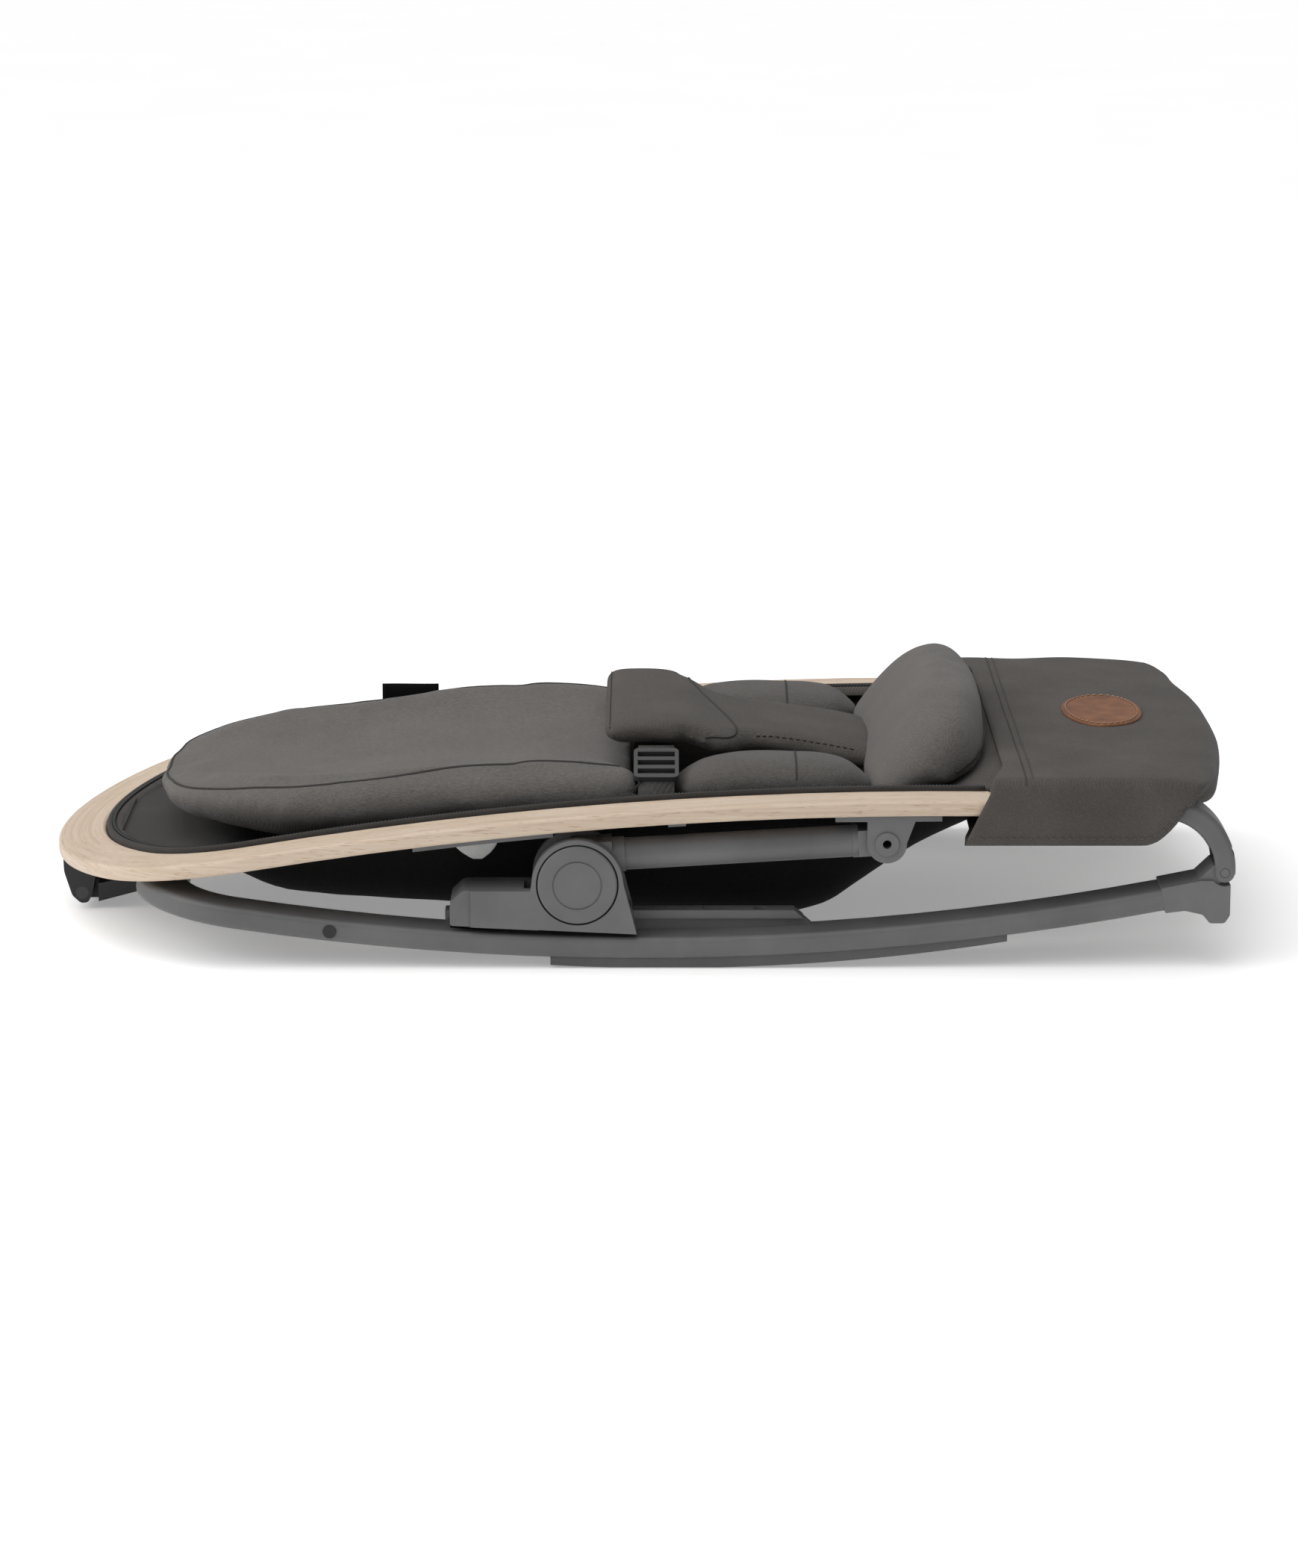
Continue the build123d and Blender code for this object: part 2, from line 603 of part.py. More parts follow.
def sling_form(inset, lift):
    stations = []
    for x, rim, rim_z, floor, floor_z in sling_line:
        corner = min(18.0, 0.45 * (rim_z - floor_z) + 0.8)
        half = rim - inset
        top_half = half + lift * 0.3
        stations.append(trough(x, top_half, rim_z + lift, floor - inset, floor_z + inset, corner))
    return loft(stations, ruled=True)


sling_inside = sling_form(CLOTH, 12)
sling_inside = sling_inside - block(HEAD_X - 7, HEAD_X + 50.5, -HOOP_HALF, HOOP_HALF, 0, 200)
sling = sling_form(0, 0) - sling_inside
sling_room = sling_form(-6, 0) - sling_form(CLOTH + SOFT_GAP, 12)
save("sling", sling)

# Rim trim with its zip, between the hoop and the sling
trim = hoop_ring(HOOP_W + SOFT_GAP, HOOP_W + 3.2, 1.5, 8, HOOP_END_X - 4)
save("rim_trim", trim)


def sling_half(x, z):
    """Half width of the sling's inside at a point between two stations."""
    for a, b in zip(sling_line, sling_line[1:]):
        if a[0] <= x <= b[0]:
            t = (x - a[0]) / (b[0] - a[0])
            rim, rim_z, floor, floor_z = (p + t * (q - p) for p, q in zip(a[1:], b[1:]))
            up = (z - floor_z) / (rim_z - floor_z)
            return floor + min(up, 1.0) * (rim - floor) - CLOTH


# Back cushion: rolled sides and a shallow dish, wedged between the walls of the sling
def dish_section(x, side_in, rim_z, thick, dish):
    half = inside_half(x) - side_in
    low_z = rim_z - thick
    low = min(half - 7, sling_half(x, low_z) - SOFT_GAP)
    roll = half - 17
    edges = [
        Line((-low, low_z), (low, low_z)),
        ThreePointArc((low, low_z), (half, low_z + 0.62 * thick), (roll, rim_z)),
        ThreePointArc((roll, rim_z), (0, rim_z - dish), (-roll, rim_z)),
        ThreePointArc((-roll, rim_z), (-half, low_z + 0.62 * thick), (-low, low_z)),
    ]
    return Plane((x, 0, 0), x_dir=(0, 1, 0), z_dir=(1, 0, 0)) * make_face(edges)


# Each station gives X, how far in from the hoop the side is, rim height, thickness and dish.
BACK = [
    (HEAD_X + 71, 82.9, 84, 16, 2),
    (HEAD_X + 107, 50.1, 98, 26, 10),
    (HEAD_X + 177, 25, 110, 40, 17),
    (-130, 16, 119, 47, 20),
    (-27, 15, 124, 49, 22),
    (-2, 20, 122, 45, 20),
]
save("back_cushion", loft([dish_section(*station) for station in BACK]) - sling_room)


# Side bolsters beside the hips
def bolster_section(x, inner_in, outer_in, low_z, top_z):
    inner = INSIDE - inner_in
    outer = INSIDE - outer_in
    mid = (inner + outer) / 2
    edges = [
        Line((inner, low_z), (outer, low_z)),
        ThreePointArc((outer, low_z), (outer - 3, (low_z + top_z) / 2 + 3), (mid, top_z)),
        ThreePointArc((mid, top_z), (inner + 3, (low_z + top_z) / 2 + 3), (inner, low_z)),
    ]
    return Plane((x, 0, 0), x_dir=(0, 1, 0), z_dir=(1, 0, 0)) * make_face(edges)


# Each station gives X, how far in from the hoop its two sides are, bottom and top height.
BOLSTER = [
    (31, 81, 33, 101, 114),
    (52, 99, 17.5, 96, 126),
    (110, 103, 16, 96, 130),
    (142, 97, 19, 98, 126),
    (158, 75, 31, 104, 116),
]
pair("bolster", loft([bolster_section(*station) for station in BOLSTER]))


# Leg cushion: a thick lobe across the seat that rises to the foot cover
def lobe_section(y, x0, x1, top_z, x_top):
    low0 = (x0, 97)
    low1 = (x1, 121)
    mid_z = (low1[1] + top_z) / 2
    edges = [
        Line(low0, low1),
        ThreePointArc(low1, (x1 + 0.12 * (x1 - x_top), mid_z + 2), (x_top, top_z)),
        ThreePointArc((x_top, top_z), ((x0 + x_top) / 2 - 4, (97 + top_z) / 2 + 6), low0),
    ]
    return Plane((0, y, 0), x_dir=(1, 0, 0), z_dir=(0, -1, 0)) * make_face(edges)


LOBE_END = INSIDE - 23
LOBE_TURN = INSIDE - 45
LOBE_SIDE = INSIDE - 103
LOBE = [
    (-LOBE_END, 186, 214, 128, 202),
    (-LOBE_TURN, 168, 236, 154, 212),
    (-LOBE_SIDE, 161, 244, 170, 218),
    (0, 160, 245, 173, 219),
    (LOBE_SIDE, 161, 244, 170, 218),
    (LOBE_TURN, 168, 236, 154, 212),
    (LOBE_END, 186, 214, 128, 202),
]
save("leg_cushion", loft([lobe_section(*station) for station in LOBE]))

# T-shaped crotch and belt pad: a bar over the lap and a tongue down between the legs
PAD_T = 16.0
BAR_HALF = INSIDE - 73
NECK_HALF = INSIDE - 115
TONGUE_HALF = INSIDE - 127
pad_plan = make_face(
    FilletPolyline(
        (-24, BAR_HALF),
        (34, BAR_HALF),
        (56, NECK_HALF),
        (150, TONGUE_HALF),
        (150, -TONGUE_HALF),
        (56, -NECK_HALF),
        (34, -BAR_HALF),
        (-24, -BAR_HALF),
        radius=[16, 22, 24, 22, 22, 24, 22, 16],
        close=True,
    )
)
pad_top = [(-40, 143), (30, 144), (62, 134), (110, 127), (170, 119)]
pad_curve = Spline(*pad_top)
pad_low = Spline(*[(x, z - PAD_T) for x, z in reversed(pad_top)])
pad_ends = [Line(pad_curve @ 1, pad_low @ 0), Line(pad_low @ 1, pad_curve @ 0)]
pad_side = make_face([pad_curve, pad_low] + pad_ends)
crotch_pad = extrude(pad_plan, 220) & slab(Plane.XZ * pad_side, 0, 3 * BAR_HALF)
save("crotch_pad", crotch_pad)

# Straps and ladder-lock buckles between the pad and the walls of the seat
STRAP_X = 14.0
STRAP_W = 25.0
STRAP_Y = INSIDE - 40.6
strap_line = Plane((STRAP_X, STRAP_Y, 116.6), x_dir=(0, 0.9, -0.42), z_dir=(0, 0.42, 0.9))
strap = extrude(strap_line * Rectangle(70.8, STRAP_W), 1.5)
pair("strap", strap - sling_room)
frame = RectangleRounded(33, 31, 4)
for along in (-9.5, 0, 9.5):
    frame = frame - Pos(along, 0) * Rectangle(5.5, STRAP_W + 0.6)
buckle_line = strap_line * Pos(-8, 0, 1.5 + SOFT_GAP)
buckle = extrude(buckle_line * frame, 4)
pair("buckle", buckle)

# Foot cover: a sleeve over the foot of the frame with a round end, notched where the elbows come out
COVER_RISE = 14.0
cover_turn = COVER_END_X - 69.0
cover_side = outline(
    [
        (228, COVER_BOTTOM),
        (cover_turn, COVER_BOTTOM),
        (COVER_END_X, COVER_BOTTOM + COVER_RISE),
        (COVER_END_X, COVER_TOP),
        (250, COVER_TOP),
    ],
    [0, 30, 10, 14, 0],
)
room_end = COVER_END_X - COVER_WALL
room_low = COVER_BOTTOM + COVER_WALL
room_top = COVER_TOP - COVER_WALL
room_side = outline(
    [
        (180, room_low),
        (cover_turn, room_low),
        (room_end, room_low + COVER_RISE),
        (room_end, room_top),
        (180, room_top),
    ],
    [0, 30, 8, 12, 0],
)
round_end = [
    (200, COVER_HALF),
    (COVER_END_X - COVER_CORNER, COVER_HALF),
    (COVER_END_X - 20, COVER_HALF - 46),
    (COVER_END_X - 8, COVER_HALF - 110),
    (COVER_END_X, COVER_HALF - 168),
]
round_end = round_end + [(x, -y) for x, y in reversed(round_end)]
end_radii = [0, 12, 60, 60, 40]
cover_plan = make_face(
    FilletPolyline(*round_end, radius=end_radii + end_radii[::-1], close=True)
)
room_plan = offset(cover_plan, -COVER_WALL)
cover = slab(cover_side, 0, 3 * COVER_HALF) & extrude(cover_plan, 200)
room = slab(room_side, 0, 3 * COVER_HALF) & extrude(room_plan, 200)
cover = cover - room
notch_side = [(0, 80), (3, 86), (18, 96.5), (33, 119), (36, 140), (90, 140), (90, 80)]
notch_face = outline([(cover_turn + x, z) for x, z in notch_side])
notch = slab(notch_face, SIDE_Y + 0.5, 44)
cover = cover - notch - mirror(notch, about=Plane.XZ)
save("foot_cover", cover)

# Leather patch, bare, stitched on the cover; blank cloth tabs
patch = extrude(Pos(332, 0, COVER_TOP + SOFT_GAP) * Ellipse(28.5, 52.5), 1.3)
save("leather_patch", patch)
save("loop_tab", block(-190, -148, INSIDE - 15.4, INSIDE - 13.9, 96, 121))
save("care_tab", block(-128, -92, 1.6 - INSIDE, 2.8 - INSIDE, 68, 88))
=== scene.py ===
import math

import bmesh
import bpy
import numpy as np
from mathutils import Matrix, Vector
from mathutils.bvhtree import BVHTree


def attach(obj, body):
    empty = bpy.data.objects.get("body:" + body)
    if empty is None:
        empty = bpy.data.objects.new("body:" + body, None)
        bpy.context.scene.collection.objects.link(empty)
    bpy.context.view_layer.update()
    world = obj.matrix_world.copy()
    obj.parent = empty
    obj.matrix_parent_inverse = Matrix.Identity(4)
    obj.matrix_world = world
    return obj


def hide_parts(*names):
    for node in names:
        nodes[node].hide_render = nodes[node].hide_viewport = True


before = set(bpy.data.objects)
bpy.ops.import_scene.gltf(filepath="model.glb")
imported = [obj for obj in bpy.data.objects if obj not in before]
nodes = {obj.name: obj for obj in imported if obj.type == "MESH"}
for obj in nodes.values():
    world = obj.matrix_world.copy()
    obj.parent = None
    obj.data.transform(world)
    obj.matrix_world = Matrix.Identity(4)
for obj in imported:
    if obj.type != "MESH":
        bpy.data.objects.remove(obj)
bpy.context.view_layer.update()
MM = 0.001

HOOP_HALF = 207.0
NOSE_R = 270.0
HEAD_X = -413.0
HEAD_DEPTH = 150.0
CORNER_X = HEAD_X + HEAD_DEPTH
BOW_X = 209.0
BOW_TOP = 116.0
BOW_R = 2900.0
TRIM_END_X = 238.0

# Padding: frames and pressure of the simulation. Thread: how far a stitch stands off its cloth
PUFF_FRAMES = 20
PUFF_PRESSURE = 4.0
THREAD_OFF = 0.1
THREAD_LIFT = 0.25
THREAD_SIDES = 6


# Small tools: smooth curves through a few values, rounded paths, meshes from rings
def smooth(pairs):
    """A curve through the pairs that never overshoots them."""
    xs = np.array([p[0] for p in pairs], float)
    ys = np.array([p[1] for p in pairs], float)
    h = np.diff(xs)
    d = np.diff(ys) / h
    m = np.zeros(len(xs))
    m[0], m[-1] = d[0], d[-1]
    for i in range(1, len(xs) - 1):
        if d[i - 1] * d[i] > 0:
            w1, w2 = 2 * h[i] + h[i - 1], h[i] + 2 * h[i - 1]
            m[i] = (w1 + w2) / (w1 / d[i - 1] + w2 / d[i])

    def value(x):
        x = min(max(float(x), xs[0]), xs[-1])
        i = min(int(np.searchsorted(xs, x, side="right")) - 1, len(xs) - 2)
        t = (x - xs[i]) / h[i]
        a = (1 + 2 * t) * (1 - t) ** 2
        b = t * (1 - t) ** 2
        c = t * t * (3 - 2 * t)
        e = t * t * (t - 1)
        return a * ys[i] + b * h[i] * m[i] + c * ys[i + 1] + e * h[i] * m[i + 1]

    return value


def columns(table):
    """One smooth curve for each column of a table of stations, by its first column."""
    return [smooth([(row[0], row[k]) for row in table]) for k in range(1, len(table[0]))]


def catmull(points, per=5, closed=True):
    """Points along a smooth line through the given ones."""
    p = np.array(points, float)
    n = len(p)
    out = []
    for i in range(n if closed else n - 1):
        p0, p1 = p[(i - 1) % n], p[i]
        p2, p3 = p[(i + 1) % n], p[(i + 2) % n]
        if not closed:
            p0 = p[max(i - 1, 0)]
            p3 = p[min(i + 2, n - 1)]
        for k in range(per):
            t = k / per
            out.append(
                0.5
                * (
                    2 * p1
                    + (p2 - p0) * t
                    + (2 * p0 - 5 * p1 + 4 * p2 - p3) * t * t
                    + (3 * p1 - p0 - 3 * p2 + p3) * t**3
                )
            )
    if not closed:
        out.append(p[-1])
    return np.array(out)


def rounded(points, radii, per):
    """An open path whose inner corners are rounded off."""
    p = [np.array(q, float) for q in points]
    out = [p[0]]
    for i in range(1, len(p) - 1):
        a, b = p[i - 1] - p[i], p[i + 1] - p[i]
        la, lb = np.linalg.norm(a), np.linalg.norm(b)
        cut = min(radii[i - 1], 0.48 * la, 0.48 * lb)
        s, e = p[i] + a / max(la, 1e-9) * cut, p[i] + b / max(lb, 1e-9) * cut
        for k in range(per + 1):
            t = k / per
            out.append((1 - t) ** 2 * s + 2 * t * (1 - t) * p[i] + t * t * e)
    out.append(p[-1])
    return np.array(out)


def resample(path, n):
    """The path as n points at even steps."""
    path = np.array(path, float)
    seg = np.linalg.norm(np.diff(path, axis=0), axis=1)
    run = np.concatenate([[0], np.cumsum(seg)])
    at = np.linspace(0, run[-1], n)
    return np.stack([np.interp(at, run, path[:, k]) for k in range(path.shape[1])], 1)


def mesh_piece(name, verts, faces, material=None):
    """A smooth mesh from points in millimetres, its normals outward."""
    me = bpy.data.meshes.new(name)
    me.from_pydata([tuple(float(c) * MM for c in v) for v in verts], [], faces)
    me.update()
    ob = bpy.data.objects.new(name, me)
    bpy.context.scene.collection.objects.link(ob)
    me.shade_smooth()
    if material:
        me.materials.append(material)
    bm = bmesh.new()
    bm.from_mesh(me)
    bmesh.ops.recalc_face_normals(bm, faces=bm.faces)
    bm.to_mesh(me)
    bm.free()
    return ob


def rings_piece(name, rings, closed=True, material=None):
    """A skin over rings of points. Closed rings make a capped body, open ones a sheet."""
    n = len(rings[0])
    verts = [v for r in rings for v in r]
    faces = []
    for i in range(len(rings) - 1):
        for j in range(n if closed else n - 1):
            a, b = i * n + j, i * n + (j + 1) % n
            faces.append((a, b, b + n, a + n))
    if closed:
        faces.append(tuple(reversed(range(n))))
        faces.append(tuple((len(rings) - 1) * n + j for j in range(n)))
    return mesh_piece(name, verts, faces, material)


def modifier(ob, kind, **values):
    mod = ob.modifiers.new(kind.title(), kind)
    for key, value in values.items():
        setattr(mod, key, value)
    return mod


def apply_all(ob):
    """Turns what the modifiers show into the object's own mesh."""
    dg = bpy.context.evaluated_depsgraph_get()
    dg.update()
    me = bpy.data.meshes.new_from_object(ob.evaluated_get(dg))
    old = ob.data
    mats = [m for m in old.materials]
    ob.modifiers.clear()
    ob.data = me
    me.materials.clear()
    for m in mats:
        me.materials.append(m)
    me.shade_smooth()
    bpy.data.meshes.remove(old)


def places(me):
    """The mesh's points as rows."""
    co = np.zeros(len(me.vertices) * 3)
    me.vertices.foreach_get("co", co)
    return co.reshape(-1, 3)


def puff(ob, voxel, cap):
    """Voxel remesh, then a short cloth simulation under pressure, each point's move capped."""
    modifier(ob, "REMESH", mode="VOXEL", voxel_size=voxel * MM, use_smooth_shade=True)
    apply_all(ob)
    modifier(ob, "SMOOTH", iterations=6, factor=0.5)
    apply_all(ob)
    start = places(ob.data)
    cloth = modifier(ob, "CLOTH")
    cloth.settings.use_pressure = True
    cloth.settings.uniform_pressure_force = PUFF_PRESSURE
    cloth.settings.effector_weights.gravity = 0
    cloth.settings.quality = 5
    cloth.settings.mass = 0.3
    cloth.settings.tension_stiffness = 15
    cloth.settings.bending_stiffness = 0.5
    cloth.collision_settings.use_collision = False
    cloth.point_cache.frame_start = 1
    cloth.point_cache.frame_end = PUFF_FRAMES
    scene = bpy.context.scene
    for f in range(1, PUFF_FRAMES + 1):
        scene.frame_set(f)
    dg = bpy.context.evaluated_depsgraph_get()
    end = places(ob.evaluated_get(dg).to_mesh())
    ob.evaluated_get(dg).to_mesh_clear()
    ob.modifiers.clear()
    move = end - start
    size = np.linalg.norm(move, axis=1, keepdims=True)
    move *= np.minimum(1.0, cap * MM / np.maximum(size, 1e-9))
    ob.data.vertices.foreach_set("co", (start + move).ravel())
    ob.data.update()
    scene.frame_set(1)
    modifier(ob, "SMOOTH", iterations=5, factor=0.5)
    apply_all(ob)


def on_seat(piece, node=None):
    """The piece rides with the seat, in place of a CAD node if one is named."""
    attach(piece, "seat")
    if node:
        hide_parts(node)


def cushion(ob, node, voxel, cap):
    """Stuffs a piece and puts it on the seat in place of its CAD node."""
    puff(ob, voxel, cap)
    modifier(ob, "SUBSURF", levels=1, render_levels=1)
    on_seat(ob, node)


def stitches(name, lines, material, length, gap, radius):
    """Rows of thread stitches, each a small rounded bar, along (points, normals) lines."""
    verts, faces = [], []
    n = THREAD_SIDES
    for points, ups in lines:
        points, ups = np.array(points, float), np.array(ups, float)
        seg = np.linalg.norm(np.diff(points, axis=0), axis=1)
        run = np.concatenate([[0], np.cumsum(seg)])
        for k in range(int(run[-1] / (length + gap))):
            s0 = k * (length + gap)
            ends = (s0, s0 + length)
            at = [np.array([np.interp(s, run, points[:, c]) for c in range(3)]) for s in ends]
            up = np.array([np.interp(s0 + length / 2, run, ups[:, c]) for c in range(3)])
            up /= max(np.linalg.norm(up), 1e-9)
            along = at[1] - at[0]
            along /= max(np.linalg.norm(along), 1e-9)
            side = np.cross(along, up)
            base = len(verts)
            for t, w in ((0.0, 0.35), (0.25, 1.0), (0.75, 1.0), (1.0, 0.35)):
                rise = THREAD_LIFT + (0.25 if 0 < t < 1 else -0.1) * radius
                mid = at[0] + (at[1] - at[0]) * t + up * rise
                for a in range(n):
                    ang = 2 * math.pi * a / n
                    verts.append(mid + radius * w * (math.cos(ang) * side + math.sin(ang) * up))
            for i in range(3):
                for a in range(n):
                    p, q = base + i * n + a, base + i * n + (a + 1) % n
                    faces.append((p, q, q + n, p + n))
            faces.append(tuple(base + a for a in reversed(range(n))))
            faces.append(tuple(base + 3 * n + a for a in range(n)))
    return mesh_piece(name, verts, faces, material)


def hug(ob, points, off=0.0, down=False):
    """Points and normals on the object's shown surface, nearest to the given ones or straight below."""
    dg = bpy.context.evaluated_depsgraph_get()
    dg.update()
    tree = BVHTree.FromObject(ob, dg)
    spots, ups = [], []
    for p in points:
        q = Vector(p) * MM
        if down:
            hit = tree.ray_cast(q + Vector((0, 0, 0.3)), Vector((0, 0, -1)))
        else:
            hit = tree.find_nearest(q)
        if hit[0] is None:
            continue
        normal = np.array(hit[1])
        spots.append(np.array(hit[0]) / MM + normal * off)
        ups.append(normal)
    return spots, ups


def sewn(name, ob, lines, material, length, gap, radius, down=False):
    """Stitches along lines laid on a piece, riding with the seat."""
    rows = [hug(ob, line, THREAD_OFF, down) for line in lines]
    on_seat(stitches(name, rows, material, length, gap, radius))


def welt(name, ob, line, radius, down=False):
    """A drawn seam laid on a piece as a thin round line, riding with the seat."""
    points, _ = hug(ob, line, down=down)
    curve = bpy.data.curves.new(name, "CURVE")
    curve.dimensions = "3D"
    curve.bevel_depth = radius * MM
    curve.bevel_resolution = 2
    spline = curve.splines.new("POLY")
    spline.points.add(len(points) - 1)
    for p, q in zip(spline.points, points):
        p.co = (q[0] * MM, q[1] * MM, q[2] * MM, 1)
    piece = bpy.data.objects.new(name, curve)
    bpy.context.scene.collection.objects.link(piece)
    curve.materials.append(THREAD)
    on_seat(piece)


# Materials, all procedural
def shader(name, colour, rough, metallic=0.0, sheen=0.0, specular=0.5):
    mat = bpy.data.materials.new(name)
    mat.use_nodes = True
    tree = mat.node_tree
    bsdf = tree.nodes["Principled BSDF"]
    bsdf.inputs["Base Color"].default_value = (*colour, 1)
    bsdf.inputs["Roughness"].default_value = rough
    bsdf.inputs["Metallic"].default_value = metallic
    bsdf.inputs["Sheen Weight"].default_value = sheen
    bsdf.inputs["Sheen Roughness"].default_value = 0.5
    bsdf.inputs["Specular IOR Level"].default_value = specular
    return mat, tree, bsdf


def add(tree, kind, **values):
    node = tree.nodes.new(kind)
    for key, value in values.items():
        setattr(node, key, value)
    return node


def coords(tree, scale=(1, 1, 1), turn=0.0):
    """Object coordinates in metres, scaled, and turned about Z by an angle in degrees."""
    tc = add(tree, "ShaderNodeTexCoord")
    mp = add(tree, "ShaderNodeMapping")
    mp.inputs["Scale"].default_value = scale
    mp.inputs["Rotation"].default_value = (0, 0, math.radians(turn))
    tree.links.new(tc.outputs["Object"], mp.inputs["Vector"])
    return mp.outputs["Vector"]


def noise(tree, vector, scale, detail=2.0, rough=0.5):
    n = add(tree, "ShaderNodeTexNoise")
    n.inputs["Scale"].default_value = scale
    n.inputs["Detail"].default_value = detail
    n.inputs["Roughness"].default_value = rough
    tree.links.new(vector, n.inputs["Vector"])
    return n.outputs["Fac"]


def ramp(tree, value, stops):
    r = add(tree, "ShaderNodeValToRGB")
    while len(r.color_ramp.elements) < len(stops):
        r.color_ramp.elements.new(0.5)
    for e, (pos, col) in zip(r.color_ramp.elements, stops):
        e.position = pos
        e.color = (*col, 1)
    tree.links.new(value, r.inputs["Fac"])
    return r.outputs["Color"]


def shades(tree, value, low, high, dark):
    """A ramp from a dark tone up to white, to multiply a colour with."""
    return ramp(tree, value, [(low, dark), (high, (1, 1, 1))])


def math_node(tree, kind, a, b=None):
    m = add(tree, "ShaderNodeMath", operation=kind)
    for i, v in enumerate((a, b)):
        if v is None:
            continue
        if isinstance(v, (int, float)):
            m.inputs[i].default_value = v
        else:
            tree.links.new(v, m.inputs[i])
    return m.outputs[0]


def times(tree, a, b):
    return math_node(tree, "MULTIPLY", a, b)


def plus(tree, a, b):
    return math_node(tree, "ADD", a, b)


def shaded(tree, share, colour, tone):
    """A colour multiplied by a tone, by a share of the way."""
    m = add(tree, "ShaderNodeMix", data_type="RGBA", blend_type="MULTIPLY")
    m.inputs[0].default_value = share
    tree.links.new(colour, m.inputs[6])
    tree.links.new(tone, m.inputs[7])
    return m.outputs[2]


def bump(tree, bsdf, height, strength, distance):
    b = add(tree, "ShaderNodeBump")
    b.inputs["Strength"].default_value = strength
    b.inputs["Distance"].default_value = distance
    tree.links.new(height, b.inputs["Height"])
    tree.links.new(b.outputs["Normal"], bsdf.inputs["Normal"])


def wave(tree, vector, period):
    """Slightly uneven diagonal yarns at a period in millimetres."""
    w = add(tree, "ShaderNodeTexWave", wave_type="BANDS", bands_direction="DIAGONAL")
    w.inputs["Scale"].default_value = 0.628 / (period * MM)
    w.inputs["Distortion"].default_value = 1.5
    w.inputs["Detail"].default_value = 1.0
    tree.links.new(vector, w.inputs["Vector"])
    return w.outputs["Fac"]


def cloth_material(name, dark, light, period, streak, sheen, strength, speck):
    """Woven or knitted cloth: two crossing yarns for the bump, flecked yarn for the colour."""
    mat, tree, bsdf = shader(name, light, 0.92, sheen=sheen, specular=0.15)
    plain = coords(tree)
    yarn = noise(tree, coords(tree, streak), 1.0, 3.0, 0.65)
    patch = noise(tree, plain, 22.0, 3.0)
    tone = plus(tree, times(tree, yarn, speck), times(tree, patch, 1 - speck))
    base = ramp(tree, tone, [(0.32, dark), (0.68, light)])
    weave = times(tree, wave(tree, plain, period), wave(tree, coords(tree, turn=90), period))
    colour = shaded(tree, 0.28, base, shades(tree, weave, 0.0, 0.7, (0.45, 0.45, 0.45)))
    tree.links.new(colour, bsdf.inputs["Base Color"])
    fuzz = noise(tree, plain, 900.0, 2.0)
    bump(tree, bsdf, plus(tree, weave, times(tree, fuzz, 0.5)), strength, 0.0006)
    return mat


def moulded(name, colour, rough, grain, strength):
    """Moulded plastic, rubber, powder coat or thread: fine grain, slight patches of gloss and tone."""
    mat, tree, bsdf = shader(name, colour, rough, specular=0.4)
    plain = coords(tree)
    fine = noise(tree, plain, grain, 2.0)
    broad = noise(tree, plain, 14.0, 4.0, 0.6)
    low = tuple(c * 0.86 for c in colour)
    high = tuple(min(1.0, c * 1.12) for c in colour)
    tree.links.new(ramp(tree, broad, [(0.35, low), (0.65, high)]), bsdf.inputs["Base Color"])
    gloss = plus(tree, times(tree, broad, 0.12), rough - 0.06)
    tree.links.new(gloss, bsdf.inputs["Roughness"])
    bump(tree, bsdf, fine, strength, 0.0004)
    return mat


def beech_material(name):
    """Bent beech: grain and short flecks that run round the hoop with its bend."""
    mat, tree, bsdf = shader(name, (0.6, 0.47, 0.36), 0.5, specular=0.2)
    tc = add(tree, "ShaderNodeTexCoord")
    sep = add(tree, "ShaderNodeSeparateXYZ")
    tree.links.new(tc.outputs["Object"], sep.inputs[0])
    x, y, z = sep.outputs
    past = math_node(tree, "MINIMUM", plus(tree, x, -CORNER_X * MM), 0.0)
    head = times(tree, past, HOOP_HALF / HEAD_DEPTH)
    across = math_node(tree, "SQRT", plus(tree, times(tree, head, head), times(tree, y, y)))

    def grain(along, over, detail, rough=0.5):
        v = add(tree, "ShaderNodeCombineXYZ")
        for socket, axis, scale in zip(v.inputs, (x, across, z), (along, over, over)):
            tree.links.new(times(tree, axis, scale), socket)
        return noise(tree, v.outputs[0], 1.0, detail, rough)

    bands = grain(5.0, 160.0, 4.0, 0.6)
    fine = grain(22.0, 900.0, 2.0, 0.6)
    fleck = grain(95.0, 1100.0, 1.0)
    cloud = grain(3.0, 18.0, 2.0)
    tone = ramp(
        tree,
        bands,
        [(0.22, (0.505, 0.4, 0.3)), (0.5, (0.61, 0.5, 0.395)), (0.78, (0.665, 0.56, 0.46))],
    )
    tone = shaded(tree, 0.35, tone, shades(tree, fine, 0.3, 0.65, (0.75, 0.7, 0.64)))
    tone = shaded(tree, 0.55, tone, shades(tree, fleck, 0.30, 0.37, (0.62, 0.5, 0.4)))
    tone = shaded(tree, 0.5, tone, shades(tree, cloud, 0.3, 0.7, (0.86, 0.83, 0.8)))
    tree.links.new(tone, bsdf.inputs["Base Color"])
    bump(tree, bsdf, plus(tree, fine, times(tree, fleck, 0.6)), 0.1, 0.0003)
    return mat


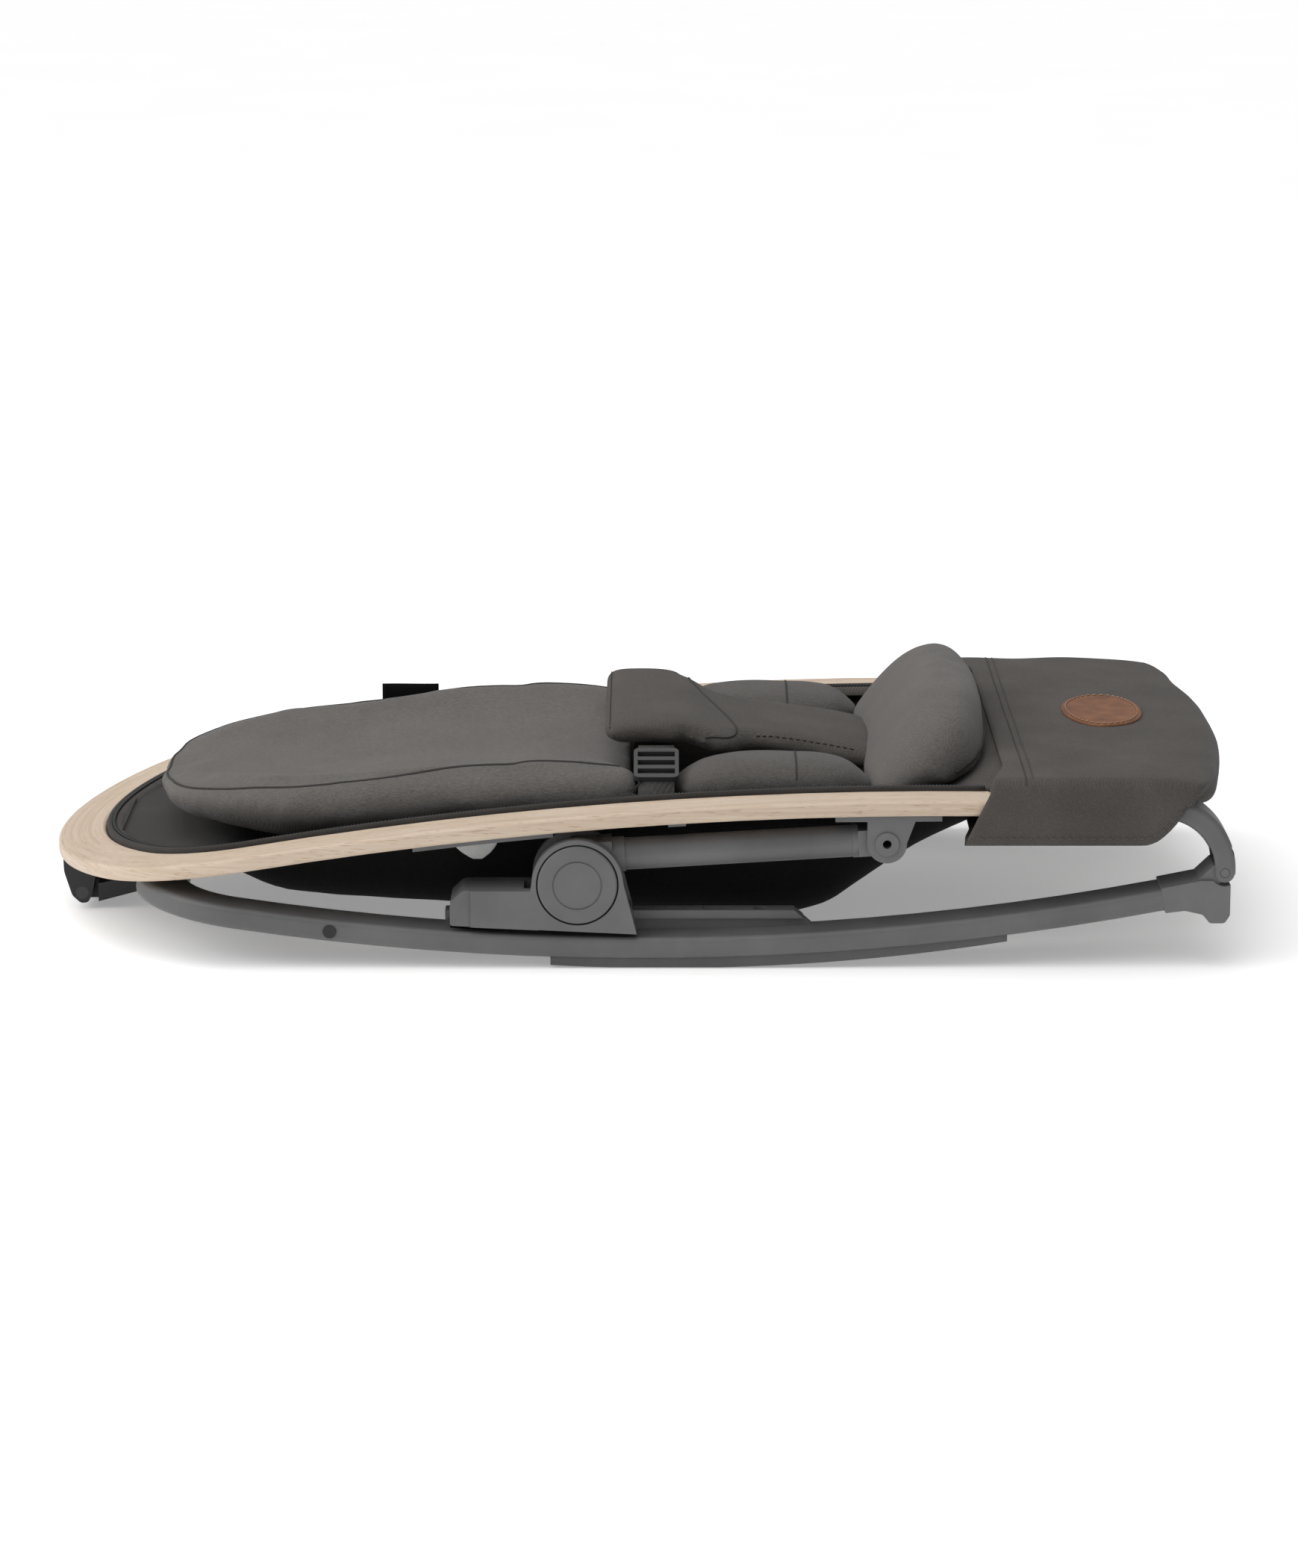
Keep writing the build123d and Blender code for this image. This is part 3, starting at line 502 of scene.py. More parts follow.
def steel_material(name):
    """Plated steel with fine drawn lines."""
    mat, tree, bsdf = shader(name, (0.5, 0.5, 0.51), 0.35, metallic=1.0)
    fine = noise(tree, coords(tree, (40, 900, 900)), 1.0, 2.0)
    tone = ramp(tree, fine, [(0.3, (0.38, 0.38, 0.39)), (0.7, (0.58, 0.58, 0.6))])
    tree.links.new(tone, bsdf.inputs["Base Color"])
    bump(tree, bsdf, fine, 0.1, 0.0002)
    return mat


def leather_material(name):
    """Tan leather: small cells in the grain, broad patches in the tone."""
    mat, tree, bsdf = shader(name, (0.18, 0.075, 0.035), 0.6, specular=0.25)
    plain = coords(tree)
    cell = add(tree, "ShaderNodeTexVoronoi", feature="DISTANCE_TO_EDGE")
    cell.inputs["Scale"].default_value = 620.0
    tree.links.new(plain, cell.inputs["Vector"])
    broad = noise(tree, plain, 60.0, 5.0, 0.65)
    tone = ramp(
        tree,
        broad,
        [(0.3, (0.115, 0.047, 0.021)), (0.55, (0.19, 0.078, 0.036)), (0.8, (0.26, 0.12, 0.062))],
    )
    tree.links.new(tone, bsdf.inputs["Base Color"])
    bump(tree, bsdf, math_node(tree, "MINIMUM", cell.outputs["Distance"], 0.25), 0.5, 0.0006)
    return mat


TUBE = moulded("tube_powder_coat", (0.117, 0.117, 0.119), 0.5, 2600.0, 0.1)
PLASTIC = moulded("grey_plastic", (0.128, 0.128, 0.13), 0.55, 2200.0, 0.14)
RUBBER = moulded("grey_rubber", (0.095, 0.095, 0.097), 0.78, 1500.0, 0.2)
BUCKLE = moulded("dark_plastic", (0.042, 0.042, 0.043), 0.5, 2200.0, 0.12)
BLACK = moulded("black_plastic", (0.016, 0.016, 0.017), 0.5, 2200.0, 0.12)
BEECH = beech_material("bent_beech")
STEEL = steel_material("plated_steel")
LEATHER = leather_material("tan_leather")

# Cloths: dark and light yarn, period of the weave in millimetres, stretch of the flecks, sheen, bump, fleck
MELANGE_FLECK = (330, 1500, 1500)
MELANGE = cloth_material(
    "melange_knit", (0.09, 0.084, 0.079), (0.174, 0.162, 0.153), 1.6, MELANGE_FLECK, 0.12, 0.4, 0.8
)
# A darker copy of the melange knit: painted shade for the bolsters, which lie in the shadow of the cushion
# and the hoop
MELANGE_PAINTED_SHADE = cloth_material(
    "melange_knit_painted_shade", (0.066, 0.061, 0.057), (0.13, 0.121, 0.114), 1.6, MELANGE_FLECK, 0.12, 0.4, 0.8
)
TWILL = cloth_material(
    "taupe_twill", (0.064, 0.058, 0.053), (0.098, 0.089, 0.082), 2.4, (500, 500, 500), 0.08, 0.6, 0.5
)
LINING = cloth_material(
    "lining_cloth", (0.035, 0.032, 0.03), (0.055, 0.05, 0.047), 1.2, (500, 500, 500), 0.1, 0.35, 0.5
)
SLING = cloth_material(
    "sling_cloth", (0.003, 0.003, 0.003), (0.0065, 0.0065, 0.0065), 1.6, (400, 400, 400), 0.015, 0.35, 0.5
)
WEBBING = cloth_material(
    "webbing", (0.02, 0.019, 0.018), (0.07, 0.067, 0.064), 4.0, (300, 300, 300), 0.05, 1.0, 0.4
)
WHITE = cloth_material(
    "white_satin", (0.62, 0.62, 0.61), (0.78, 0.78, 0.77), 0.9, (300, 300, 300), 0.2, 0.2, 0.4
)
THREAD = moulded("thread", (0.035, 0.033, 0.031), 0.85, 3000.0, 0.3)
THREAD_TAN = moulded("thread_tan", (0.33, 0.2, 0.12), 0.8, 3000.0, 0.3)
THREAD_GREY = moulded("thread_grey", (0.085, 0.079, 0.074), 0.85, 3000.0, 0.3)

for names, mat in (
    (("base_tube", "elbow", "arm_tube"), TUBE),
    (("connector", "rail", "shoe", "arm_knuckle", "arm_eye", "bracket", "button"), PLASTIC),
    (("rail_plates", "stand", "bracket_rivets", "foot_pivot_pins"), PLASTIC),
    (("foot_bow", "latch_spring", "button_spring", "lock_pin"), STEEL),
    (("rocker_pad", "stand_bumpers"), RUBBER),
    (("wood_hoop",), BEECH),
    (("latch_lug", "latch_hook", "stand_pins"), BLACK),
    # The latch pin takes the buckle's dark grey, lighter than the black latch round it: a painted highlight
    # for the small round glint on the pin
    (("buckle", "latch_pin"), BUCKLE),
):
    for node, ob in nodes.items():
        base = node.removesuffix("_left").removesuffix("_right")
        if base in names:
            ob.data.materials.clear()
            ob.data.materials.append(mat)


# Hoop geometry shared by the fabric that hangs from it
def bow_z(x):
    return BOW_TOP - BOW_R + math.sqrt(BOW_R**2 - (x - BOW_X) ** 2)


def hoop_line(inset):
    """Plan points along the hoop at an inset from its outer edge, left rail to right rail."""
    nose_x = HEAD_X + NOSE_R
    gap = CORNER_X - nose_x
    corner_r = (NOSE_R**2 - gap**2 - HOOP_HALF**2) / (2 * (NOSE_R - HOOP_HALF))
    corner_y = HOOP_HALF - corner_r
    join = math.atan2(corner_y, gap)
    corner_in, nose_in = corner_r - inset, NOSE_R - inset
    pts = [(x, HOOP_HALF - inset) for x in np.arange(TRIM_END_X, CORNER_X, -6.0)]
    for a in np.linspace(math.pi / 2, join, 16):
        pts.append((CORNER_X + corner_in * math.cos(a), corner_y + corner_in * math.sin(a)))
    for a in np.linspace(join, math.pi, 16)[1:]:
        pts.append((nose_x + nose_in * math.cos(a), nose_in * math.sin(a)))
    return np.array(pts + [(x, -y) for x, y in reversed(pts[:-1])])


def hoop_band(name, line, outside, profile, material):
    """A strip along a hoop line, its profile in (inward, up) pairs. The line outside gives direction."""
    rings = []
    for (x, y), (ox, oy) in zip(line, outside):
        inward = np.array([x - ox, y - oy])
        inward /= max(np.linalg.norm(inward), 1e-9)
        z = bow_z(x)
        rings.append([(x + inward[0] * u, y + inward[1] * u, z + v) for u, v in profile])
    return rings_piece(name, rings, material=material)


# Sling: one smooth bucket of black cloth hung inside the hoop
# Stations: x, half width and height of the rim, half width and height of the floor
STATIONS = [
    (-368, 62, 57.0, 40, 55.5),
    (-340, 124, 62.0, 96, 57.5),
    (-306, 150, 69.0, 122, 57.0),
    (-240, 168.5, 80.0, 140, 34.0),
    (-140, 168.5, 93.5, 134, 23.0),
    (0, 168.5, 106.0, 128, 15.5),
    (100, 168.5, 111.0, 122, 11.5),
    (126, 168.5, 111.5, 124, 17.0),
    (160, 168.5, 112.0, 130, 40.0),
    (196, 168.5, 112.5, 136, 67.0),
    (236, 168.5, 112.5, 142, 90.0),
]
SLING_FOLD = 34
SLING_T = 1.6
STITCH_IN = 3
sling_curves = columns(STATIONS)


def sling_at(x):
    return [curve(x) for curve in sling_curves]


rings = []
head_xs, middle_xs = np.linspace(-368, -300, 14), np.linspace(-290, 90, 48)
for x in np.concatenate([head_xs, middle_xs, np.linspace(96, 236, 30)]):
    w, h, fw, fz = sling_at(x)
    path = rounded([(w, h), (fw, fz), (-fw, fz), (-w, h)], [SLING_FOLD, SLING_FOLD], 8)
    rings.append([(x, y, z) for y, z in resample(path, 49)])
sling = rings_piece("sling_cloth", rings, closed=False, material=LINING)
sling.data.materials.append(SLING)
modifier(sling, "SOLIDIFY", thickness=SLING_T * MM, offset=0.0, material_offset=1)
on_seat(sling, "sling")

rows = []
for part in (0.26, 0.55):
    line = []
    for x in np.concatenate([np.linspace(-120, -330, 60), np.linspace(-334, -364, 14)]):
        w, h, fw, fz = sling_at(x)
        line.append((x, w - part * (w - fw) - STITCH_IN, h - part * (h - fz)))
    rows.append(line + [(x, -y, z) for x, y, z in reversed(line)])
sewn("lining_stitches", sling, rows, THREAD, length=3.6, gap=1.6, radius=0.5)

# Rim trim: a bound edge, and a zip that runs along it
BINDING = [(-1.2, -7), (-1.3, 0.2), (-0.6, 2.3), (0.9, 3.0), (2.4, 2.2), (3.2, 0.4), (3.0, -3), (1.6, -7)]
TAPE = [(-2.5, 0.4), (0, 1.6), (4, 0.6), (9, -3.2), (9, -4.4), (4, -0.6), (0, 0.4), (-2.5, -0.8)]
TEETH = 620
TOOTH_LIFT = 1.9
TOOTH_TAPER = 0.7
BOX_FACES = ((0, 1, 3, 2), (4, 6, 7, 5), (0, 4, 5, 1), (2, 3, 7, 6), (1, 5, 7, 3), (0, 2, 6, 4))
outer_line, trim_line, zip_line = hoop_line(34.2), hoop_line(35.6), hoop_line(39.5)
on_seat(hoop_band("rim_binding", trim_line, outer_line, BINDING, LINING), "rim_trim")
tape = hoop_band("zip_tape", zip_line, trim_line, TAPE, TWILL)
on_seat(tape)
verts, faces = [], []
teeth_line = resample(np.array([(x, y, bow_z(x) + TOOTH_LIFT) for x, y in zip_line]), TEETH)
for i in range(1, TEETH - 1):
    along = teeth_line[i + 1] - teeth_line[i - 1]
    along /= np.linalg.norm(along)
    side = np.array([-along[1], along[0], 0])
    faces += [tuple(len(verts) + k for k in f) for f in BOX_FACES]
    for a in (-0.75, 0.75):
        for b in (-1.5, 1.5):
            for c in (-0.5, 0.7):
                taper = TOOTH_TAPER if c > 0 else 1.0
                verts.append(teeth_line[i] + along * a * taper + side * b * taper + np.array([0, 0, c]))
on_seat(mesh_piece("zip_teeth", verts, faces, BLACK))

# Back cushion: a dished pad with a rolled rim, round at the head
# Stations: x, half width, height of the rim, thickness, depth of the dish
BACK = [
    (-343, 28, 96.5, 14, 1),
    (-332, 76, 100, 21, 5),
    (-306, 114, 105.5, 29, 10),
    (-270, 136, 110.5, 37, 14),
    (-236, 148, 113, 42, 18),
    (-130, 155, 122, 48, 22),
    (-27, 156, 127, 50, 24),
    (-6, 153, 126, 46, 22),
    (2, 147, 122, 36, 17),
]
BACK_HEAD_X = BACK[0][0]
BACK_ROLL = 17.0
back_w, back_h, back_t, back_d = columns(BACK)


def back_half(x):
    """Half of the section on one side, from bottom middle to top middle."""
    w, top, t, d = back_w(x), back_h(x), back_t(x), back_d(x)
    low = top - t
    r = min(BACK_ROLL, 0.4 * w)
    return [
        (0, low),
        (0.62 * w, low + 0.02 * t),
        (w - 1.3 * r, low + 0.12 * t),
        (w - 0.25 * r, low + 0.42 * t),
        (w, top - 0.42 * t),
        (w - 0.22 * r, top - 0.16 * t),
        (w - r, top),
        (w - 2.0 * r, top - 0.2 * d),
        (0.5 * w, top - 0.72 * d),
        (0, top - d),
    ]


rings = []
head_xs, middle_xs = np.linspace(BACK_HEAD_X, -300, 12), np.linspace(-292, -14, 44)
for x in np.concatenate([head_xs, middle_xs, np.linspace(-10, 2, 5)]):
    half = back_half(x)
    loop = half + [(-y, z) for y, z in reversed(half[1:-1])]
    rings.append([(x, y, z) for y, z in catmull(loop, 4)])
back = rings_piece("back_cushion_cloth", rings, material=MELANGE)
cushion(back, "back_cushion", voxel=5.0, cap=4.0)

# Its seam runs round the top, set in from the edge
seam_in = smooth([(BACK_HEAD_X, 9), (-306, 11), (-240, 16), (-130, 23), (-6, 27)])
edge_xs = np.concatenate([np.linspace(-6, -300, 60), np.linspace(-304, BACK_HEAD_X, 24)])
near_edge = [(x, -back_w(x)) for x in edge_xs]
far_edge = [(x, -y) for x, y in reversed(near_edge)]
head_edge = [(BACK_HEAD_X, y) for y in np.linspace(-20, 20, 9)]
edge = resample(near_edge + head_edge + far_edge, 240)
for _ in range(8):
    edge[1:-1] = (edge[:-2] + 2 * edge[1:-1] + edge[2:]) / 4
along = np.gradient(edge, axis=0)
along /= np.linalg.norm(along, axis=1, keepdims=True)
seam = [(x + seam_in(x) * ty, y - seam_in(x) * tx, 0) for (x, y), (tx, ty) in zip(edge, along)]
welt("back_seam", back, seam, 0.9, down=True)

# Side bolsters: a stuffed pad each side of the hips, with one cross seam
# Stations: x, inner and outer edge, underside and top
BOLSTER = [
    (24, 104, 126, 101, 110),
    (31, 92, 140, 99, 116),
    (52, 76, 154, 96, 126),
    (84, 71, 156, 95, 129.5),
    (106, 70, 156.5, 95, 129),
    (110, 70.5, 156.5, 95, 127.6),
    (114, 71, 156, 95, 129),
    (142, 78, 153, 97, 126),
    (158, 98, 141, 102, 116),
    (164, 108, 130, 104, 111),
]
BOLSTER_SEAM_X = 110
bolster_curves = columns(BOLSTER)


def bolster_loop(x):
    """One section of a bolster, fuller on its outer side."""
    inner, outer, low, top = (curve(x) for curve in bolster_curves)
    mid, span, rise = (inner + outer) / 2, outer - inner, top - low
    return [
        (mid, low),
        (outer - 0.22 * span, low + 0.04 * rise),
        (outer - 0.02 * span, low + 0.34 * rise),
        (outer - 0.06 * span, top - 0.22 * rise),
        (outer - 0.26 * span, top),
        (mid, top - 0.02 * rise),
        (inner + 0.24 * span, top - 0.1 * rise),
        (inner + 0.05 * span, top - 0.4 * rise),
        (inner + 0.08 * span, low + 0.2 * rise),
        (inner + 0.28 * span, low),
    ]


for side, word in ((1, "left"), (-1, "right")):
    rings = []
    for x in np.linspace(BOLSTER[0][0], BOLSTER[-1][0], 48):
        rings.append([(x, side * y, z) for y, z in catmull(bolster_loop(x), 3)])
    # The bolsters take the darker melange copy, painted with the shade that falls on them
    pad = rings_piece(f"bolster_{word}_cloth", rings, material=MELANGE_PAINTED_SHADE)
    cushion(pad, f"bolster_{word}", voxel=4.5, cap=2.5)
    cross = [(BOLSTER_SEAM_X, side * y, 140) for y in np.linspace(74, 154, 40)]
    welt(f"bolster_{word}_seam", pad, cross, 0.7, down=True)

# Leg cushion: a raised crescent across the hoop in front of the foot cover
# Stations: distance from the middle, left and right edge, height of the crest, place of the crest
LOBE = [
    (0, 157, 245, 171.5, 219),
    (70, 155, 244, 168.5, 218),
    (110, 155, 240, 160, 215),
    (128, 158, 235, 151.5, 212),
    (142, 166, 226, 140, 207),
    (150, 178, 215, 127, 202),
]
LOBE_SEAM = 0.3
lobe_curves = columns(LOBE)


def lobe_at(y):
    return [curve(abs(y)) for curve in lobe_curves]


def lobe_low(x):
    """Height of the cloth under the crescent, rising to the foot."""
    return 97 + (x - 160) / 85 * 24


rings = []
near_ys, middle_ys = np.linspace(-150, -118, 12), np.linspace(-112, 112, 36)
for y in np.concatenate([near_ys, middle_ys, np.linspace(118, 150, 12)]):
    x0, x1, top, xt = lobe_at(y)
    z0, z1 = lobe_low(x0) + 1, lobe_low(x1) + 1
    loop = [
        (x0, z0 + 2),
        (x0 + 0.35 * (x1 - x0), z0 + 0.35 * (z1 - z0)),
        (x0 + 0.75 * (x1 - x0), z0 + 0.75 * (z1 - z0)),
        (x1, z1),
        (x1 + 0.5, z1 + LOBE_SEAM * (top - z1)),
        (xt + 0.62 * (x1 - xt), z1 + 0.84 * (top - z1)),
        (xt, top),
        (xt - 0.35 * (xt - x0), z0 + 0.84 * (top - z0)),
        (xt - 0.75 * (xt - x0), z0 + 0.42 * (top - z0)),
    ]
    rings.append([(x, y, z) for x, z in catmull(loop, 4)])
leg = rings_piece("leg_cushion_cloth", rings, material=MELANGE)
cushion(leg, "leg_cushion", voxel=5.0, cap=3.0)
seam = []
for y in np.linspace(-146, 146, 90):
    _, x1, top, _ = lobe_at(y)
    z1 = lobe_low(x1) + 1
    seam.append((x1 + 1.0, y, z1 + LOBE_SEAM * (top - z1)))
welt("leg_seam", leg, seam, 1.1)

# Crotch pad: a crossbar and a tongue sewn as one padded T, its near wing pulled towards the foot
PAD_T = 15.5
PAD_ROUND = 16
BAR_X = 5
BAR_HALF = 29
BAR_END = 100
TONGUE_END = 176
ABOVE_PAD = 150
pad_top = smooth([(-40, 145), (8, 147), (30, 145.5), (62, 135), (110, 128), (150, 121.5), (180, 115)])
TONGUE_TIP = [(160, 66), (170, 62), (TONGUE_END, 48)]
far_w = smooth([(10, 90), (34, 86), (46, 74), (60, 65), (90, 62), (130, 64)] + TONGUE_TIP)
near_w = smooth([(10, 92), (34, 96), (54, 96), (66, 89), (74, 76), (82, 67), (100, 62)] + TONGUE_TIP)
HALF_SECTION = [(0, 0), (0.7, 0), (0.96, 0.16), (1.0, 0.45)]
HALF_SECTION += [(0.95, 0.78), (0.78, 0.97), (0.4, 1.0), (0, 1.0)]
section = catmull(HALF_SECTION + [(-u, v) for u, v in reversed(HALF_SECTION[1:-1])], 3)


def pad_z(x, v, edge):
    """Height in the pad at a share v of its thickness, thinner by how far into the rounded end it lies."""
    return pad_top(x) - PAD_T + PAD_T * (0.5 + (v - 0.5) * (1 - 0.5 * edge**2.4))


rings = []
for y in np.concatenate([[-100, -98, -94, -88], np.linspace(-78, 78, 24), [88, 94, 98, 100]]):
    edge = max(0.0, abs(y) - (BAR_END - PAD_ROUND)) / PAD_ROUND
    wide = BAR_HALF * (1 - 0.16 * edge**2)
    rings.append([(BAR_X + u * wide, y, pad_z(BAR_X + u * wide, v, edge)) for u, v in section])
bar = rings_piece("pad_bar", rings)
rings = []
for x in np.concatenate([np.linspace(10, 156, 36), np.linspace(160, TONGUE_END, 8)]):
    far, near = far_w(x), near_w(x)
    edge = max(0.0, x - (TONGUE_END - PAD_ROUND)) / PAD_ROUND
    rings.append([(x, u * (far if u > 0 else near), pad_z(x, v, edge)) for u, v in section])
crotch = rings_piece("crotch_pad_cloth", rings, material=TWILL)
bpy.ops.object.select_all(action="DESELECT")
bar.select_set(True)
crotch.select_set(True)
bpy.context.view_layer.objects.active = crotch
bpy.ops.object.join()
cushion(crotch, "crotch_pad", voxel=3.2, cap=1.8)
rows = [
    [(-18, y, ABOVE_PAD) for y in np.linspace(-94, 94, 110)],
    [(x, 6.5 - near_w(x), ABOVE_PAD) for x in np.linspace(84, 158, 50)],
    [(x, far_w(x) - 6.5, ABOVE_PAD) for x in np.linspace(66, 158, 60)],
]
sewn("crotch_stitches", crotch, rows, THREAD, length=3.2, gap=1.6, radius=0.4, down=True)
FOLD = [(40, 78), (38, 60), (46, 28), (58, -8), (66, -38), (70, -66), (62, -84), (48, -92)]
fold = catmull([(x, y, ABOVE_PAD) for x, y in FOLD], 12, closed=False)
welt("crotch_fold", crotch, fold, 0.8, down=True)

# Straps: flat webbing from the crotch pad over the cushion's side into its slot, with a tail
STRAP_X = 14
STRAP_MID = (132.4, 116.6)
STRAP_T0 = -34
STRAP_T1 = 35
STRAP_BOW = 1.4
STRAP_SECTION = ((-12.3, -0.6), (12.3, -0.6), (12.5, 0), (12.3, 0.6), (-12.3, 0.6), (-12.5, 0))
strap_way = np.array([0.9, -0.42]) / math.hypot(0.9, 0.42)
strap_up = np.array([0.42, 0.9]) / math.hypot(0.42, 0.9)
for side, word in ((1, "left"), (-1, "right")):
    rings = []
    for t in np.linspace(STRAP_T0, STRAP_T1, 24):
        y, z = STRAP_MID[0] + strap_way[0] * t, STRAP_MID[1] + strap_way[1] * t
        lift = STRAP_BOW * math.sin(math.pi * (t - STRAP_T0) / (STRAP_T1 - STRAP_T0))
        ring = []
        for u, v in STRAP_SECTION:
            ring.append((STRAP_X + u, side * (y + strap_up[0] * (v + lift)), z + strap_up[1] * (v + lift)))
        rings.append(ring)
    strap = rings_piece(f"strap_{word}_webbing", rings, material=WEBBING)
    on_seat(strap, f"strap_{word}")

TAIL = [(2, 141, 113.5), (-4, 149, 109), (-14, 155, 106)]
TAIL += [(-20, 158.5, 108), (-12, 160.5, 110.5), (4, 160, 107)]
TAIL_SECTION = ((-1.5, 0, -9), (1.5, 0, 2), (1.5, 1.2, 2.4), (-1.5, 1.2, -8.6))
tail_path = resample(rounded(TAIL, [8, 8, 4, 4], 5), 26)
for side, word in ((1, "left"), (-1, "right")):
    rings = []
    for x, y, z in tail_path:
        rings.append([(x + u, side * (y + v), z + w) for u, v, w in TAIL_SECTION])
    tail = rings_piece(f"strap_{word}_tail", rings, material=WEBBING)
    on_seat(tail)

# Foot cover: a sewn sleeve with a round end over the foot of the hoop, cut away round the elbows
COVER_HALF = 210.0
COVER_TOP = 131.7
COVER_LOW = 86.2
COVER_EDGE = 10.0
COVER_T = 2.0
COVER_SAG_X = 46
COVER_STEPS = 40
WALL_STEPS = 6
# Curves by the distance from the middle: the end in plan, its roundness, and both open edges
END_PLAN = [(0, 411.6), (40, 411), (75, 408.5), (104, 404.5), (140, 399)]
END_PLAN += [(168, 394), (190, 389), (204, 382.5), (210, 376)]
end_x = smooth(END_PLAN)
end_r = smooth([(0, 13), (150, 13), (186, 4), (210, 4)])
open_low = smooth([(0, 228), (160, 228), (196, 223), (210, 222)])
open_top = smooth([(0, 250), (160, 250), (196, 243), (210, 239)])
# Curves by x: the low edge at the sides, notched round the elbows, and in the middle
NOTCH = [(350, 88), (361, 96.8), (370, 108.5), (377, 118.5), (384, 121), (412, 122)]
notch_z = smooth([(220, COVER_LOW), (343, COVER_LOW)] + NOTCH)
base_z = smooth([(220, COVER_LOW), (343, COVER_LOW), (380, 93), (412, 100.5)])


def cover_low(x, y):
    t = min(1.0, max(0.0, (abs(y) - 120) / 46))
    share = t * t * (3 - 2 * t)
    return base_z(x) + (notch_z(x) - base_z(x)) * share


def cover_top(x, y):
    """Height of the top: a slight crown, a soft fold along the sides and a sag to the end."""
    over = max(0.0, abs(y) - (COVER_HALF - COVER_EDGE))
    fold_z = COVER_EDGE - math.sqrt(max(COVER_EDGE**2 - over**2, 0.0))
    end = max(0.0, (x - (end_x(abs(y)) - COVER_SAG_X)) / COVER_SAG_X)
    rise = math.sin(math.pi * min(1.0, max(0.0, (x - 236) / 176)))
    crown = 2.2 * (1 - (abs(y) / COVER_HALF) ** 2) * rise
    dip = 0.5 * math.sin(x * 0.09 + y * 0.021) * math.sin(y * 0.034 + 0.8)
    return COVER_TOP + crown + dip - fold_z - 4.5 * end**2.4


def cover_profile(y):
    """Bottom edge, round end and top edge of the sleeve at one Y, as pairs from left to right."""
    xe, r = end_x(abs(y)), end_r(abs(y))
    left_low, left_top = open_low(abs(y)), open_top(abs(y))
    low, top = [], []
    for t in np.linspace(0, 1, COVER_STEPS):
        xb, xt = left_low + t * (xe - r - left_low), left_top + t * (xe - r - left_top)
        low.append((xb, y, cover_low(xb, y)))
        top.append((xt, y, cover_top(xt, y)))
    zl, zt = low[-1][2], top[-1][2]
    mid, rise = (zl + zt) / 2, (zt - zl) / 2
    for a in np.linspace(0, math.pi / 2, 9)[1:]:
        out = r * math.sin(a) ** 0.8
        low.append((xe - r + out, y, mid - rise * math.cos(a) ** 0.8))
        top.append((xe - r + out, y, mid + rise * math.cos(a) ** 0.8))
    return low, top


inner_half = COVER_HALF - COVER_EDGE
edge_ys = [COVER_HALF - COVER_EDGE * (1 - math.sin(a)) for a in np.linspace(0, math.pi / 2, 8)]
ys = sorted(set([-y for y in edge_ys] + list(np.linspace(-inner_half, inner_half, 57)) + edge_ys))
profiles = [cover_profile(y) for y in ys]
m = len(profiles[0][0])
n = 2 * m - 1
verts, faces = [], []
for low, top in profiles:
    verts += low + top[:-1][::-1]
for i in range(len(ys) - 1):
    for j in range(n - 1):
        faces.append((i * n + j, i * n + j + 1, (i + 1) * n + j + 1, (i + 1) * n + j))
# Each side wall fills the gap between bottom and top edge in a few even steps
for i in (0, len(ys) - 1):
    row = [i * n + j for j in range(m)]
    for step in range(1, WALL_STEPS + 1):
        new = []
        for j in range(m):
            a, b = np.array(verts[i * n + j]), np.array(verts[i * n + n - 1 - j])
            if j == m - 1 or step == WALL_STEPS:
                new.append(i * n + n - 1 - j)
            else:
                verts.append(tuple(a + (b - a) * step / WALL_STEPS))
                new.append(len(verts) - 1)
        for j in range(m - 1):
            face = list(dict.fromkeys([row[j], row[j + 1], new[j + 1], new[j]]))
            if len(face) > 2:
                faces.append(tuple(face))
        row = new
cover = mesh_piece("foot_cover_cloth", verts, faces, TWILL)
modifier(cover, "SOLIDIFY", thickness=COVER_T * MM, offset=-1.0)
on_seat(cover, "foot_cover")

# Its panel seam with a row of stitches, and the stitched hems of both sides
SEAM_X = 263
SEAM_STITCH_X = 267.5
HEM_UP = 5
welt(
    "cover_panel_seam",
    cover,
    [(SEAM_X, y, cover_top(SEAM_X, y)) for y in np.linspace(-208, 208, 140)],
    0.5,
)
line = [(SEAM_STITCH_X, y, cover_top(SEAM_STITCH_X, y)) for y in np.linspace(-203, 203, 260)]
hem = [(x, -COVER_HALF - 1, notch_z(x) + HEM_UP) for x in np.linspace(232, 372, 150)]
hems = [hem, [(x, -y, z) for x, y, z in hem]]
for name, rows in (("cover_stitches", [line]), ("cover_hem_stitches", hems)):
    sewn(name, cover, rows, THREAD_GREY, length=3.6, gap=1.8, radius=0.4)

# Apron: the cloth that runs from the cover's open edge down under the leg cushion
APRON_HALF = 167.5
APRON_T = 1.2
rings = []
for y in np.linspace(-APRON_HALF, APRON_HALF, 61):
    drop = 12.5 * (abs(y) / APRON_HALF) ** 5
    corners = [(258, 130.6 - drop), (246, 129 - drop), (226, 119 - 0.75 * drop), (196, 104 - 0.3 * drop)]
    rings.append([(x, y, z) for x, z in resample(rounded(corners, [10, 22], 6), 24)])
apron = rings_piece("cover_apron", rings, closed=False, material=TWILL)
modifier(apron, "SOLIDIFY", thickness=APRON_T * MM, offset=-1.0)
on_seat(apron)

# Leather patch with a line of stitches
PATCH_X = 332
PATCH_HALF = (28.5, 52.5)
PATCH_STITCH = (25.4, 49.2)
